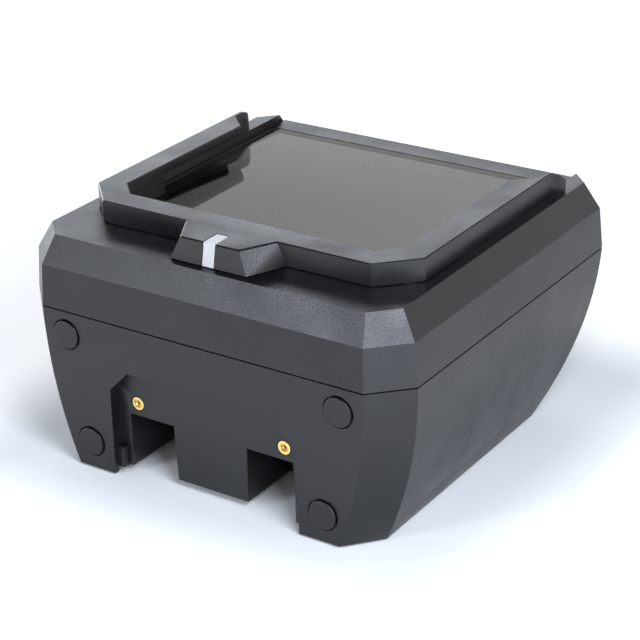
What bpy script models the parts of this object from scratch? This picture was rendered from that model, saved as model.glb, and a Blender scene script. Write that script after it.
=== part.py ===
"""Full-page document reader: a two-part moulded housing, a U-shaped document frame over a scan glass,
and the optics and boards that it holds inside.

Metres, +Z up. X runs across the reader, the cable side faces -Y, and documents slide in from +Y.
The origin is the centre of the footprint, on the surface that the rubber feet stand on."""

import math

import bmesh
import bpy
from mathutils import Matrix

for old in list(bpy.data.objects):
    bpy.data.objects.remove(old, do_unlink=True)

# Document and the bay that takes it
PAGE_WIDTH = 0.1250
PAGE_DEPTH = 0.0880
SIDE_PLAY = 0.0013
RAIL_WALL = 0.0020
LIP_REACH = 0.0078
LIP_THICK = 0.0022
LIP_LENGTH = 0.0462
BAR_DEPTH = 0.0097
STOP_LENGTH = 0.0267
FRAME_HEIGHT = 0.0081
FRAME_CUT = 0.0122
FRAME_INNER_CUT = 0.0068
FRAME_WALL = 0.0020
FRAME_EDGE = 0.0004

# Flared rail ends
FLARE_START = 0.0590
FLARE_RADIUS = 0.0060
FLARE_DEGREES = 50
FLARE_TIP = 0.0010
RAIL_ROUND = 0.0072
RAIL_ROUND_LEAD = 0.0010

# Nose in front of the frame
NOSE_SETBACK = 0.0028
NOSE_LENGTH = 0.0133
NOSE_FRONT_HALF = 0.0152
NOSE_BACK_HALF = 0.0218
NOSE_SIDE_DRAFT = 0.0036
NOSE_FRONT_DRAFT = 0.0016

# Housing
DECK_MARGIN = 0.0043
REAR_MARGIN = 0.0015
BAND_RUN = 0.00535
BAND_HEIGHT = 0.0094
SKIRT_DRAFT = 0.0011
SKIRT_HEIGHT = 0.0150
LOWER_HEIGHT = 0.0576
CORNER_CUT = 0.0121
BACK_CORNER_CUT = 0.0115
WALL = 0.0021
DECK_THICK = 0.0025
SEAM = 0.0005
SIDE_TUCK = 0.0123
FRONT_TUCK = 0.0106
BACK_TUCK = 0.0275
BACK_LEAN_DEGREES = 11
FOOT_REACH = 0.0008
PAD_PROUD = 0.0008

# Glass and its seat
GLASS_DROP = 0.0029
GLASS_THICK = 0.0030
GLASS_EDGE_PLAY = 0.0008
GLASS_SEAT = 0.0025
GLASS_CORNER = 0.0010
GASKET_THICK = 0.0008
LEDGE_THICK = 0.0025
WELL_WALL = 0.0018
REAR_SILL = 0.0075

# Cable side
RECESS_HALF = 0.0376
RECESS_DRAFT = 0.0007
RECESS_HEIGHT = 0.0404
RECESS_CUT = 0.0079
RECESS_DEPTH = 0.0049
CHANNEL_INNER = 0.0151
CHANNEL_OUTER = 0.0334
CHANNEL_DRAFT = 0.0007
CHANNEL_HEIGHT = 0.0225
CHANNEL_END = 0.0290
COVER_RISE = 0.0021
COVER_THICK = 0.0020

# Gap between neighbouring pieces, a cutter's reach past a wall, bite of joined shapes, sides of a round
GAP = 0.0003
OVERRUN = 0.0020
BITE = 0.0006
ROUND = 16
FINE_ROUND = 32

# Stations worked out from the sizes above
SLOT_HALF = PAGE_WIDTH / 2 + SIDE_PLAY
LIP_HALF = SLOT_HALF - LIP_REACH
FRAME_HALF = SLOT_HALF + RAIL_WALL
DECK_HALF = FRAME_HALF + DECK_MARGIN
DECK_INSET = BAND_RUN + SKIRT_DRAFT
HALF_WIDTH = DECK_HALF + DECK_INSET
FRAME_SETBACK = DECK_INSET + NOSE_SETBACK + NOSE_LENGTH
HOUSING_DEPTH = FRAME_SETBACK + BAR_DEPTH + STOP_LENGTH + PAGE_DEPTH + REAR_MARGIN
FRONT_Y = (PAD_PROUD - HOUSING_DEPTH) / 2
BACK_Y = FRONT_Y + HOUSING_DEPTH
FRAME_FRONT_Y = FRONT_Y + FRAME_SETBACK
NOSE_FRONT_Y = FRAME_FRONT_Y - NOSE_LENGTH
BAR_BACK_Y = FRAME_FRONT_Y + BAR_DEPTH
STOP_Y = BAR_BACK_Y + STOP_LENGTH
PAGE_CENTRE_Y = STOP_Y + PAGE_DEPTH / 2
RIM_Z = FOOT_REACH
PART_Z = RIM_Z + LOWER_HEIGHT
TUB_TOP_Z = PART_Z - SEAM / 2
CAP_LOW_Z = PART_Z + SEAM / 2
WIDE_Z = PART_Z + SKIRT_HEIGHT
DECK_Z = WIDE_Z + BAND_HEIGHT
DECK_UNDER_Z = DECK_Z - DECK_THICK
TOP_Z = DECK_Z + FRAME_HEIGHT
GLASS_Z = DECK_Z - GLASS_DROP
SEAT_Z = GLASS_Z - GLASS_THICK - GASKET_THICK - 2 * GAP
TRAY_Z = SEAT_Z - LEDGE_THICK
GLASS_HALF = SLOT_HALF - GLASS_EDGE_PLAY
WELL_FRONT_Y = BAR_BACK_Y - FRAME_WALL - 2 * GAP
GLASS_FRONT_Y = WELL_FRONT_Y + 2 * GAP
GLASS_BACK_Y = BACK_Y - DECK_INSET - REAR_SILL
COVER_Z = RIM_Z + COVER_RISE
COVER_TOP_Z = COVER_Z + COVER_THICK
CHANNEL_TOP_Z = RIM_Z + CHANNEL_HEIGHT
CHANNEL_END_Y = FRONT_Y + CHANNEL_END
CHANNEL_BACK_Y = CHANNEL_END_Y + WALL
CHANNEL_X = (CHANNEL_INNER + CHANNEL_OUTER) / 2
SIDES = {"left": -1, "right": 1}


# Shapes
def add(name, mesh):
    piece = bpy.data.objects.new(name, mesh)
    bpy.context.scene.collection.objects.link(piece)
    return piece


def solid(name, points, faces):
    """A closed mesh with its faces turned outwards."""
    form = bmesh.new()
    corners = [form.verts.new(point) for point in points]
    for face in faces:
        form.faces.new([corners[i] for i in face])
    bmesh.ops.recalc_face_normals(form, faces=form.faces)
    mesh = bpy.data.meshes.new(name)
    form.to_mesh(mesh)
    form.free()
    return add(name, mesh)


def loft(name, loops):
    """A solid skinned over closed loops that hold the same number of points."""
    count = len(loops[0])
    points = [point for loop in loops for point in loop]
    faces = [list(range(count)), [len(points) - count + i for i in range(count)]]
    for step in range(len(loops) - 1):
        low = step * count
        high = low + count
        for i in range(count):
            j = (i + 1) % count
            faces.append([low + i, low + j, high + j, high + i])
    return solid(name, points, faces)


def at_height(outline, z):
    return [(x, y, z) for x, y in outline]


def prism(name, outline, low, high):
    """A plan outline raised from low to high."""
    return loft(name, [at_height(outline, low), at_height(outline, high)])


def side_prism(name, outline, left, right):
    """A side outline of (y, z) points drawn out along X."""
    return loft(name, [[(x, y, z) for y, z in outline] for x in (left, right)])


def front_prism(name, outline, near, far):
    """A front outline of (x, z) points drawn out along Y."""
    return loft(name, [[(x, y, z) for x, z in outline] for y in (near, far)])


def block(name, across, along, up):
    """A box from its spans in X, Y and Z, each given in either order."""
    (left, right), (near, far), (low, high) = (sorted(span) for span in (across, along, up))
    return prism(name, rectangle(left, right, near, far), low, high)


def rectangle(left, right, near, far):
    return [(left, near), (right, near), (right, far), (left, far)]


def centred(middle, width):
    """The span of this width about a middle."""
    return (middle - width / 2, middle + width / 2)


def ring(name, outer, inner, low, high):
    """A closed band between two outlines with the same number of points."""
    count = len(outer)
    loops = [at_height(outer, low), at_height(outer, high), at_height(inner, high), at_height(inner, low)]
    points = [point for loop in loops for point in loop]
    faces = []
    for layer in range(4):
        here = layer * count
        there = (layer + 1) % 4 * count
        for i in range(count):
            j = (i + 1) % count
            faces.append([here + i, here + j, there + j, there + i])
    return solid(name, points, faces)


def turned(name, profile, segments=ROUND, hollow=False):
    """A profile of (radius, height) points turned about Z. A hollow one is a closed loop off the axis."""
    count = len(profile)
    points = []
    for i in range(segments):
        angle = 2 * math.pi * i / segments
        across, along = math.cos(angle), math.sin(angle)
        points += [(radius * across, radius * along, height) for radius, height in profile]
    faces = []
    for i in range(segments):
        here = i * count
        there = (i + 1) % segments * count
        for k in range(count if hollow else count - 1):
            n = (k + 1) % count
            faces.append([here + k, here + n, there + n, there + k])
    if not hollow:
        faces.append([i * count for i in range(segments)])
        faces.append([i * count + count - 1 for i in range(segments)])
    return solid(name, points, faces)


def cylinder(name, radius, low, high, segments=ROUND):
    return turned(name, [(radius, low), (radius, high)], segments)


def place(piece, x, y, z, quarter_turns=0):
    """Moves a piece after turning it about X. One quarter turn points its +Z to +Y."""
    turn = Matrix.Rotation(-quarter_turns * math.pi / 2, 4, "X")
    piece.data.transform(Matrix.Translation((x, y, z)) @ turn)
    return piece


def combine(piece, tool, operation):
    step = piece.modifiers.new(tool.name, "BOOLEAN")
    step.operation = operation
    step.object = tool
    tool.hide_render = True
    tool.display_type = "WIRE"
    return piece


def cut(piece, tool):
    return combine(piece, tool, "DIFFERENCE")


def fuse(piece, tool):
    return combine(piece, tool, "UNION")


def inset(outline, distances):
    """The outline with each edge moved inwards, by one distance or by one for each edge."""
    count = len(outline)
    if not isinstance(distances, list):
        distances = [distances] * count
    lines = []
    for i in range(count):
        (x0, y0), (x1, y1) = outline[i], outline[(i + 1) % count]
        length = math.hypot(x1 - x0, y1 - y0)
        across, along = (y0 - y1) / length, (x1 - x0) / length
        lines.append((across, along, across * x0 + along * y0 + distances[i]))
    moved = []
    for i in range(count):
        (a, b, c), (d, e, f) = lines[i - 1], lines[i]
        spread = a * e - b * d
        moved.append(((c * e - f * b) / spread, (a * f - d * c) / spread))
    return moved


def mirrored(right_half):
    """A whole outline from its right half, which runs counter-clockwise."""
    return right_half + [(-x, y) for x, y in reversed(right_half)]


def finish(piece, colour, roughness, metallic=0.0, round_faces=False):
    """Gives a piece its own material, and smooth shading where it is round."""
    red, green, blue = (int(colour[i : i + 2], 16) / 255 for i in (1, 3, 5))
    material = bpy.data.materials.new(piece.name)
    material.use_nodes = True
    shader = material.node_tree.nodes["Principled BSDF"]
    shader.inputs["Base Color"].default_value = (red**2.2, green**2.2, blue**2.2, 1.0)
    shader.inputs["Roughness"].default_value = roughness
    shader.inputs["Metallic"].default_value = metallic
    piece.data.materials.append(material)
    if round_faces:
        piece.data.shade_smooth()
        piece.data.set_sharp_from_angle(angle=math.radians(35))
    return piece


# Housing plans
def cut_corner_plan(half, front, back, front_cut, side_cut, back_cut):
    """A plan with four cut corners. The front ones lose front_cut across and side_cut along the side."""
    return mirrored([
        (half - front_cut, front), (half, front + side_cut),
        (half, back - back_cut), (half - back_cut, back)])


def cap_plan(distance):
    """The plan at the seam, with every edge moved in by a distance."""
    seam_plan = cut_corner_plan(HALF_WIDTH, FRONT_Y, BACK_Y, CORNER_CUT, CORNER_CUT, BACK_CORNER_CUT)
    return inset(seam_plan, distance)


def wall_arc(reach, degrees):
    """The radius of a wall's arc and the sine of its lean at the seam. The wall leaves the seam at a lean
    in degrees, and has curved in by reach at the rim."""
    first = math.radians(degrees)
    last = 2 * math.atan2(reach, LOWER_HEIGHT) - first
    return LOWER_HEIGHT / (math.sin(last) - math.sin(first)), math.sin(first)


def tuck(reach, drop, degrees=0):
    """How far a wall has curved in at this drop below the seam, and the sine of its lean there."""
    radius, seam_lean = wall_arc(reach, degrees)
    lean = seam_lean + drop / radius
    return radius * (math.sqrt(1 - seam_lean**2) - math.sqrt(1 - lean**2)), lean


def tub_plan(z, wall=0.0):
    """The tub's outer plan at a height, or its inner plan for a wall of this thickness."""
    side, side_lean = tuck(SIDE_TUCK, PART_Z - z)
    front, front_lean = tuck(FRONT_TUCK, PART_Z - z)
    back, back_lean = tuck(BACK_TUCK, PART_Z - z, BACK_LEAN_DEGREES)
    plan = cut_corner_plan(
        HALF_WIDTH - side, FRONT_Y, BACK_Y - back, CORNER_CUT + front - side, CORNER_CUT, BACK_CORNER_CUT)
    side_wall, corner_wall, back_wall = (
        wall / math.sqrt(1 - lean**2) for lean in (side_lean, front_lean, back_lean))
    walls = [corner_wall, side_wall, back_wall]
    return inset(plan, walls + [back_wall] + walls[::-1] + [wall])


# Lower housing
LOWER_LEVELS = 12
TONGUE_HEIGHT = 0.0016
TONGUE_SETBACK = 0.0012
TOWER_RADIUS = 0.0042
TOWER_X = 0.0455
TOWER_SETBACK = 0.0130
TOWER_RIB = 0.0020
TOWER_RIB_DROP = 0.0050
HOUSING_SCREW_HEAD = 0.0026
HOUSING_SCREW_SHANK = 0.0014
HOUSING_SCREW_LENGTH = 0.0220
HOUSING_SCREW_STEP = 0.0124
BOSS_RADIUS = 0.0034
BOSS_HEIGHT = 0.0120
BOSS_FRONT_X = 0.0555
BOSS_FRONT_SETBACK = 0.0170
BOSS_BACK_X = 0.0520
BOSS_BACK_MARGIN = 0.0464
BOSS_RIB = 0.0020
BASE_SCREW_SHANK = 0.0012
PAD_DIAMETER = 0.0104
PAD_PLAY = 0.0005
PAD_SEAT = 0.0012
PAD_EDGE = 0.0003
PAD_HIGH_X = 0.0549
PAD_HIGH_RISE = 0.0490
PAD_LOW_X = 0.0478
PAD_LOW_RISE = 0.0100
INSERT_DIAMETER = 0.0050
INSERT_LENGTH = 0.0060
INSERT_X = 0.0301
INSERT_RISE = 0.0270
INSERT_BOSS_WALL = 0.0016
INSERT_WALL = 0.0010
LATCH_WIDTH = 0.0020
LATCH_HEIGHT = 0.0097
LATCH_SETBACK = 0.0022
CATCH_X = 0.0400
CATCH_WIDTH = 0.0120
CATCH_REACH = 0.0020
CATCH_DROP = 0.0022
CATCH_THICK = 0.0020
USB_WIDTH = 0.0120
USB_HEIGHT = 0.0110
JACK_WIDTH = 0.0090
JACK_HEIGHT = 0.0110
BOARD_RISE = 0.0031
BOARD_THICK = 0.0016
BOARD_Z = COVER_TOP_Z + BOARD_RISE
BOARD_TOP_Z = BOARD_Z + BOARD_THICK
CATCH_LEDGE_Y = BACK_Y - WALL - CATCH_REACH

PADS = {
    "upper_left": (-PAD_HIGH_X, RIM_Z + PAD_HIGH_RISE),
    "upper_right": (PAD_HIGH_X, RIM_Z + PAD_HIGH_RISE),
    "lower_left": (-PAD_LOW_X, RIM_Z + PAD_LOW_RISE),
    "lower_right": (PAD_LOW_X, RIM_Z + PAD_LOW_RISE),
}
BOSSES = {
    "front_left": (-BOSS_FRONT_X, FRONT_Y + BOSS_FRONT_SETBACK),
    "front_right": (BOSS_FRONT_X, FRONT_Y + BOSS_FRONT_SETBACK),
    "back_left": (-BOSS_BACK_X, BACK_Y - BOSS_BACK_MARGIN),
    "back_right": (BOSS_BACK_X, BACK_Y - BOSS_BACK_MARGIN),
}
SOCKETS = {"left": (USB_WIDTH, USB_HEIGHT), "right": (JACK_WIDTH, JACK_HEIGHT)}


def tub_levels(low, high):
    """Heights in even steps of angle along the back's arc."""
    radius, seam_lean = wall_arc(BACK_TUCK, BACK_LEAN_DEGREES)
    first = math.asin(seam_lean + (PART_Z - low) / radius)
    last = math.asin(seam_lean + (PART_Z - high) / radius)
    angles = [first + (last - first) * i / LOWER_LEVELS for i in range(LOWER_LEVELS + 1)]
    return [PART_Z - radius * (math.sin(angle) - seam_lean) for angle in angles]


def recess_outline(grow, low):
    """The front outline of the cable cover's recess, grown by a wall and open at its foot."""
    half = RECESS_HALF + grow
    top = RIM_Z + RECESS_HEIGHT + grow
    corner = RECESS_CUT + grow * (2 - math.sqrt(2))
    return mirrored([(half + RECESS_DRAFT, low), (half, top - corner), (half - corner, top)])


def channel_outline(side, grow, low):
    """The front outline of a cable channel, grown by a wall. Its sides lean outwards to its open foot."""
    inner, outer = CHANNEL_INNER - grow, CHANNEL_OUTER + grow
    top = CHANNEL_TOP_Z + grow
    return [(side * (inner - CHANNEL_DRAFT), low), (side * (outer + CHANNEL_DRAFT), low),
            (side * outer, top), (side * inner, top)]


def tub_shell():
    levels = tub_levels(RIM_Z, TUB_TOP_Z)
    tub = loft("lower_housing", [at_height(tub_plan(z), z) for z in levels])
    hollow = [at_height(tub_plan(z, WALL), z) for z in levels]
    foot = at_height(tub_plan(RIM_Z, WALL), RIM_Z - OVERRUN)
    mouth = at_height(tub_plan(TUB_TOP_Z, WALL), TUB_TOP_Z + OVERRUN)
    cut(tub, loft("tub_hollow", [foot] + hollow + [mouth]))
    tongue = ring("tub_tongue", cap_plan(TONGUE_SETBACK), cap_plan(WALL + GAP), TUB_TOP_Z - OVERRUN,
                  PART_Z + TONGUE_HEIGHT)
    return fuse(tub, tongue)


def add_cable_side(tub):
    back = FRONT_Y + RECESS_DEPTH + WALL
    fuse(tub, front_prism("recess_wall", recess_outline(WALL, COVER_Z), FRONT_Y + WALL / 2, back))
    for name, side in SIDES.items():
        walls = channel_outline(side, WALL, COVER_Z)
        fuse(tub, front_prism("channel_walls_" + name, walls, back - WALL / 2, CHANNEL_BACK_Y))
        boss = cylinder("insert_boss_" + name, INSERT_DIAMETER / 2 + GAP + INSERT_BOSS_WALL, 0,
                        WALL / 2 + INSERT_LENGTH + GAP)
        fuse(tub, place(boss, side * INSERT_X, back - WALL / 2, RIM_Z + INSERT_RISE, 1))
    open_foot = RIM_Z - OVERRUN
    cut(tub, front_prism("recess", recess_outline(0, open_foot), FRONT_Y - OVERRUN, FRONT_Y + RECESS_DEPTH))
    for name, side in SIDES.items():
        channel = channel_outline(side, 0, open_foot)
        cut(tub, front_prism("channel_" + name, channel, FRONT_Y - OVERRUN, CHANNEL_END_Y))
        bore = cylinder("insert_bore_" + name, INSERT_DIAMETER / 2 + GAP, -OVERRUN, INSERT_LENGTH + GAP)
        cut(tub, place(bore, side * INSERT_X, FRONT_Y + RECESS_DEPTH, RIM_Z + INSERT_RISE, 1))
        latch = (side * (RECESS_HALF - LATCH_WIDTH), side * (RECESS_HALF + WALL / 2))
        fuse(tub, block("latch_rib_" + name, latch, (FRONT_Y + LATCH_SETBACK, back - WALL / 2),
                        (COVER_Z, RIM_Z + LATCH_HEIGHT)))
        width, height = SOCKETS[name]
        cut(tub, block("socket_opening_" + name, centred(side * CHANNEL_X, width + 2 * GAP),
                       (CHANNEL_END_Y - OVERRUN, CHANNEL_BACK_Y + OVERRUN),
                       (COVER_Z - OVERRUN, BOARD_TOP_Z + height + 2 * GAP)))


def add_tub_fixings(tub):
    for name, (x, z) in PADS.items():
        seat = cylinder("pad_seat_" + name, PAD_DIAMETER / 2 + PAD_PLAY, -OVERRUN, PAD_SEAT, FINE_ROUND)
        cut(tub, place(seat, x, FRONT_Y, z, 1))
    low = COVER_TOP_Z + GAP
    for name, (x, y) in BOSSES.items():
        fuse(tub, place(cylinder("boss_" + name, BOSS_RADIUS, low, low + BOSS_HEIGHT), x, y, 0))
        wall_x = math.copysign(tub_plan(low)[2][0] - WALL / 2, x)
        fuse(tub, block("boss_rib_" + name, (x, wall_x), centred(y, BOSS_RIB),
                        (low, low + BOSS_HEIGHT - WALL)))
        bore = cylinder("boss_bore_" + name, BASE_SCREW_SHANK + GAP, low - OVERRUN, low + BOSS_HEIGHT - WALL)
        cut(tub, place(bore, x, y, 0))
    for name, side in SIDES.items():
        x, y = side * TOWER_X, FRONT_Y + TOWER_SETBACK
        step = PART_Z - HOUSING_SCREW_STEP
        fuse(tub, place(cylinder("tower_" + name, TOWER_RADIUS, low, TUB_TOP_Z), x, y, 0))
        fuse(tub, block("tower_rib_" + name, centred(x, TOWER_RIB), (FRONT_Y + WALL / 2, y),
                        (low, PART_Z - TOWER_RIB_DROP)))
        well = [(HOUSING_SCREW_HEAD + GAP, low - OVERRUN), (HOUSING_SCREW_HEAD + GAP, step),
                (HOUSING_SCREW_SHANK + GAP, step), (HOUSING_SCREW_SHANK + GAP, PART_Z + OVERRUN)]
        cut(tub, place(turned("tower_well_" + name, well), x, y, 0))
        ledge_z = PART_Z - CATCH_DROP
        fuse(tub, block("catch_ledge_" + name, centred(side * CATCH_X, CATCH_WIDTH),
                        (CATCH_LEDGE_Y, BACK_Y - WALL / 2), (ledge_z - CATCH_THICK, ledge_z)))


def build_lower_housing():
    tub = tub_shell()
    add_cable_side(tub)
    add_tub_fixings(tub)
    finish(tub, "#3c3f42", 0.45)


def build_pads_and_inserts():
    for name, (x, z) in PADS.items():
        radius, face = PAD_DIAMETER / 2, PAD_SEAT - GAP + PAD_PROUD
        profile = [(radius, 0), (radius, face - PAD_EDGE), (radius - PAD_EDGE, face)]
        pad = turned("rubber_pad_" + name, profile, FINE_ROUND)
        finish(place(pad, x, FRONT_Y + PAD_SEAT - GAP, z, -1), "#323436", 0.75, round_faces=True)
    for name, side in SIDES.items():
        outer, inner = INSERT_DIAMETER / 2, INSERT_DIAMETER / 2 - INSERT_WALL
        profile = [(outer, 0), (outer, INSERT_LENGTH), (inner, INSERT_LENGTH), (inner, 0)]
        insert = turned("thread_insert_" + name, profile, ROUND, hollow=True)
        place(insert, side * INSERT_X, FRONT_Y + RECESS_DEPTH, RIM_Z + INSERT_RISE, 1)
        finish(insert, "#d9a441", 0.3, 1.0, round_faces=True)


# Upper housing
CAP_BOSS_RADIUS = 0.0036
CAP_BOSS_END = 0.0070
CATCH_HOOK_THICK = 0.0015
CATCH_HOOK_REACH = 0.0010
CATCH_HOOK_NOSE = 0.0018
CATCH_ROOT_DROP = 0.0040
CATCH_ROOT_HEIGHT = 0.0050
FRAME_SCREW_HEAD = 0.0019
FRAME_SCREW_SHANK = 0.0009
BAR_SCREW_X = 0.0360
BAR_SCREW_SETBACK = 0.0031
NOSE_SCREW_X = 0.0115
NOSE_SCREW_SETBACK = 0.0040
CHAMBER_SCREW_X = 0.0500
CHAMBER_SCREW_SETBACK = 0.0045
CHAMBER_BOSS_RADIUS = 0.0030
CHAMBER_SCREW_SHANK = 0.0010
CHAMBER_SCREW_LENGTH = 0.0064
ANTENNA_THICK = 0.0010
STEM_DEPTH = 0.0035
GUIDE_WIDTH = 0.0045
GUIDE_TOP_LENGTH = 0.0074
STATUS_BOARD_DROP = 0.0033
POST_X = 0.0060
POST_RADIUS = 0.0015
POST_PIN = 0.0007

ANTENNA_Z = TRAY_Z - GAP - ANTENNA_THICK
CHAMBER_TOP_Z = ANTENNA_Z - GAP
GUIDE_BACK_Y = NOSE_FRONT_Y + NOSE_FRONT_DRAFT + GUIDE_TOP_LENGTH
STEM_Y = GUIDE_BACK_Y - STEM_DEPTH / 2
STATUS_BOARD_TOP_Z = DECK_UNDER_Z - STATUS_BOARD_DROP
FRAME_SCREWS = {
    "bar_left": (-BAR_SCREW_X, FRAME_FRONT_Y + BAR_SCREW_SETBACK),
    "bar_right": (BAR_SCREW_X, FRAME_FRONT_Y + BAR_SCREW_SETBACK),
    "nose_left": (-NOSE_SCREW_X, FRAME_FRONT_Y - NOSE_SCREW_SETBACK),
    "nose_right": (NOSE_SCREW_X, FRAME_FRONT_Y - NOSE_SCREW_SETBACK),
}
CHAMBER_SCREWS = {
    "front_left": (-CHAMBER_SCREW_X, WELL_FRONT_Y - CHAMBER_SCREW_SETBACK),
    "front_right": (CHAMBER_SCREW_X, WELL_FRONT_Y - CHAMBER_SCREW_SETBACK),
    "back_left": (-CHAMBER_SCREW_X, GLASS_BACK_Y + CHAMBER_SCREW_SETBACK),
    "back_right": (CHAMBER_SCREW_X, GLASS_BACK_Y + CHAMBER_SCREW_SETBACK),
}


def tray_outline():
    """The plan of the walls that carry the glass, with rear corners that stay inside the cap."""
    half = SLOT_HALF + WELL_WALL
    back = BACK_Y - DECK_INSET
    corner = BACK_CORNER_CUT - DECK_INSET * (2 - math.sqrt(2)) - (DECK_HALF - half)
    return mirrored([(half, WELL_FRONT_Y - WELL_WALL), (half, back - corner), (half - corner, back)])


def window(grow=0.0):
    """The clear opening under the glass, grown all round."""
    half = GLASS_HALF - GLASS_SEAT + grow
    return rectangle(-half, half, GLASS_FRONT_Y + GLASS_SEAT - grow, GLASS_BACK_Y - GLASS_SEAT + grow)


def cap_shell():
    slope = BAND_RUN / BAND_HEIGHT
    band_wall = WALL * math.hypot(1, slope)
    under_inset = SKIRT_DRAFT + slope * (DECK_UNDER_Z - WIDE_Z) + band_wall
    cap = loft("upper_housing", [
        at_height(cap_plan(0), CAP_LOW_Z), at_height(cap_plan(SKIRT_DRAFT), WIDE_Z),
        at_height(cap_plan(DECK_INSET), DECK_Z)])
    cut(cap, loft("cap_hollow", [
        at_height(cap_plan(WALL), CAP_LOW_Z - OVERRUN), at_height(cap_plan(SKIRT_DRAFT + band_wall), WIDE_Z),
        at_height(cap_plan(under_inset), DECK_UNDER_Z)]))
    return cap


def add_glass_well(cap):
    inside_deck_z = DECK_Z - DECK_THICK / 2
    fuse(cap, prism("well_walls", tray_outline(), TRAY_Z, inside_deck_z))
    for name, (x, y) in CHAMBER_SCREWS.items():
        boss = cylinder("chamber_boss_" + name, CHAMBER_BOSS_RADIUS, CHAMBER_TOP_Z + GAP,
                        GLASS_Z - DECK_THICK / 2)
        if name.startswith("front"):
            fuse(cap, block("chamber_boss_rib_" + name, centred(x, CHAMBER_BOSS_RADIUS),
                            (y, WELL_FRONT_Y - WELL_WALL / 2), (TRAY_Z + BITE, inside_deck_z)))
        fuse(cap, place(boss, x, y, 0))
        bore = cylinder("chamber_bore_" + name, CHAMBER_SCREW_SHANK + GAP, CHAMBER_TOP_Z - OVERRUN,
                        CHAMBER_TOP_Z + CHAMBER_SCREW_LENGTH)
        cut(cap, place(bore, x, y, 0))
    cut(cap, prism("window_opening", window(), TRAY_Z - OVERRUN, DECK_Z + OVERRUN))
    pocket = rectangle(-GLASS_HALF - GAP, GLASS_HALF + GAP, GLASS_FRONT_Y - GAP, GLASS_BACK_Y + GAP)
    cut(cap, prism("glass_pocket", pocket, SEAT_Z, DECK_Z + OVERRUN))
    cut(cap, block("slot_floor", (-SLOT_HALF, SLOT_HALF), (WELL_FRONT_Y, BACK_Y + OVERRUN),
                   (GLASS_Z, DECK_Z + OVERRUN)))


def add_cap_fixings(cap):
    inside_deck_z, above_deck_z = DECK_Z - DECK_THICK / 2, DECK_Z + OVERRUN
    for name, side in SIDES.items():
        x, y = side * TOWER_X, FRONT_Y + TOWER_SETBACK
        fuse(cap, place(cylinder("cap_boss_" + name, CAP_BOSS_RADIUS, CAP_LOW_Z, inside_deck_z), x, y, 0))
        bore = cylinder("cap_bore_" + name, HOUSING_SCREW_SHANK + GAP, PART_Z - OVERRUN,
                        DECK_UNDER_Z - CAP_BOSS_END)
        cut(cap, place(bore, x, y, 0))
        hook_y = CATCH_LEDGE_Y - GAP
        inner_y, wall_y = hook_y - CATCH_HOOK_THICK, BACK_Y - WALL / 2
        root_z = PART_Z + CATCH_ROOT_DROP
        nose_z = PART_Z - CATCH_DROP - CATCH_THICK - GAP
        tip_z, head_z = nose_z - CATCH_HOOK_NOSE, root_z + CATCH_ROOT_HEIGHT
        hook = [(inner_y, head_z), (inner_y, tip_z), (hook_y, tip_z), (hook_y + CATCH_HOOK_REACH, nose_z),
                (hook_y, nose_z), (hook_y, root_z), (wall_y, root_z), (wall_y, head_z)]
        left, right = centred(side * CATCH_X, CATCH_WIDTH - 2 * GAP)
        fuse(cap, side_prism("catch_hook_" + name, hook, left, right))
        shoulder_z = STATUS_BOARD_TOP_Z + GAP
        post = [(POST_PIN, STATUS_BOARD_TOP_Z - 2 * BOARD_THICK), (POST_PIN, shoulder_z),
                (POST_RADIUS, shoulder_z), (POST_RADIUS, inside_deck_z)]
        fuse(cap, place(turned("status_post_" + name, post), side * POST_X, STEM_Y, 0))
    for name, (x, y) in FRAME_SCREWS.items():
        hole = cylinder("frame_screw_hole_" + name, FRAME_SCREW_SHANK + GAP, DECK_UNDER_Z - OVERRUN,
                        above_deck_z)
        cut(cap, place(hole, x, y, 0))
    cut(cap, block("light_stem_hole", centred(0, GUIDE_WIDTH + 2 * GAP),
                   centred(STEM_Y, STEM_DEPTH + 2 * GAP), (DECK_UNDER_Z - OVERRUN, above_deck_z)))
    rebate = ring("tongue_rebate", cap_plan(TONGUE_SETBACK - GAP), cap_plan(WALL + 2 * GAP),
                  PART_Z - OVERRUN, PART_Z + TONGUE_HEIGHT + GAP)
    cut(cap, rebate)


def build_upper_housing():
    cap = cap_shell()
    add_glass_well(cap)
    add_cap_fixings(cap)
    finish(cap, "#44474a", 0.4)


# Document frame
FRAME_BOSS_RADIUS = 0.0023
FLARE_STEPS = 6
ROUND_STEPS = 6


def flare_arc(radius):
    """The plan of a flared wall face at the right rail's end. It curves outwards to a short straight."""
    start_y = STOP_Y + FLARE_START
    bend = math.radians(FLARE_DEGREES)
    centre_x = FRAME_HALF + FLARE_RADIUS
    points = []
    for step in range(FLARE_STEPS + 1):
        angle = bend * step / FLARE_STEPS
        points.append((centre_x - radius * math.cos(angle), start_y + radius * math.sin(angle)))
    x, y = points[-1]
    return points + [(x + FLARE_TIP * math.sin(bend), y + FLARE_TIP * math.cos(bend))]


def nose_corners(z):
    """The nose's right front and right back corners in plan at a height."""
    rise = max(0.0, (z - DECK_Z) / FRAME_HEIGHT)
    front = (NOSE_FRONT_HALF - NOSE_SIDE_DRAFT * rise, NOSE_FRONT_Y + NOSE_FRONT_DRAFT * rise)
    return [front, (NOSE_BACK_HALF - NOSE_SIDE_DRAFT * rise, FRAME_FRONT_Y)]


def frame_corner():
    return [(FRAME_HALF - FRAME_CUT, FRAME_FRONT_Y), (FRAME_HALF, FRAME_FRONT_Y + FRAME_CUT)]


def frame_inside():
    return [(LIP_HALF, BAR_BACK_Y + FRAME_INNER_CUT), (LIP_HALF - FRAME_INNER_CUT, BAR_BACK_Y)]


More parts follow.
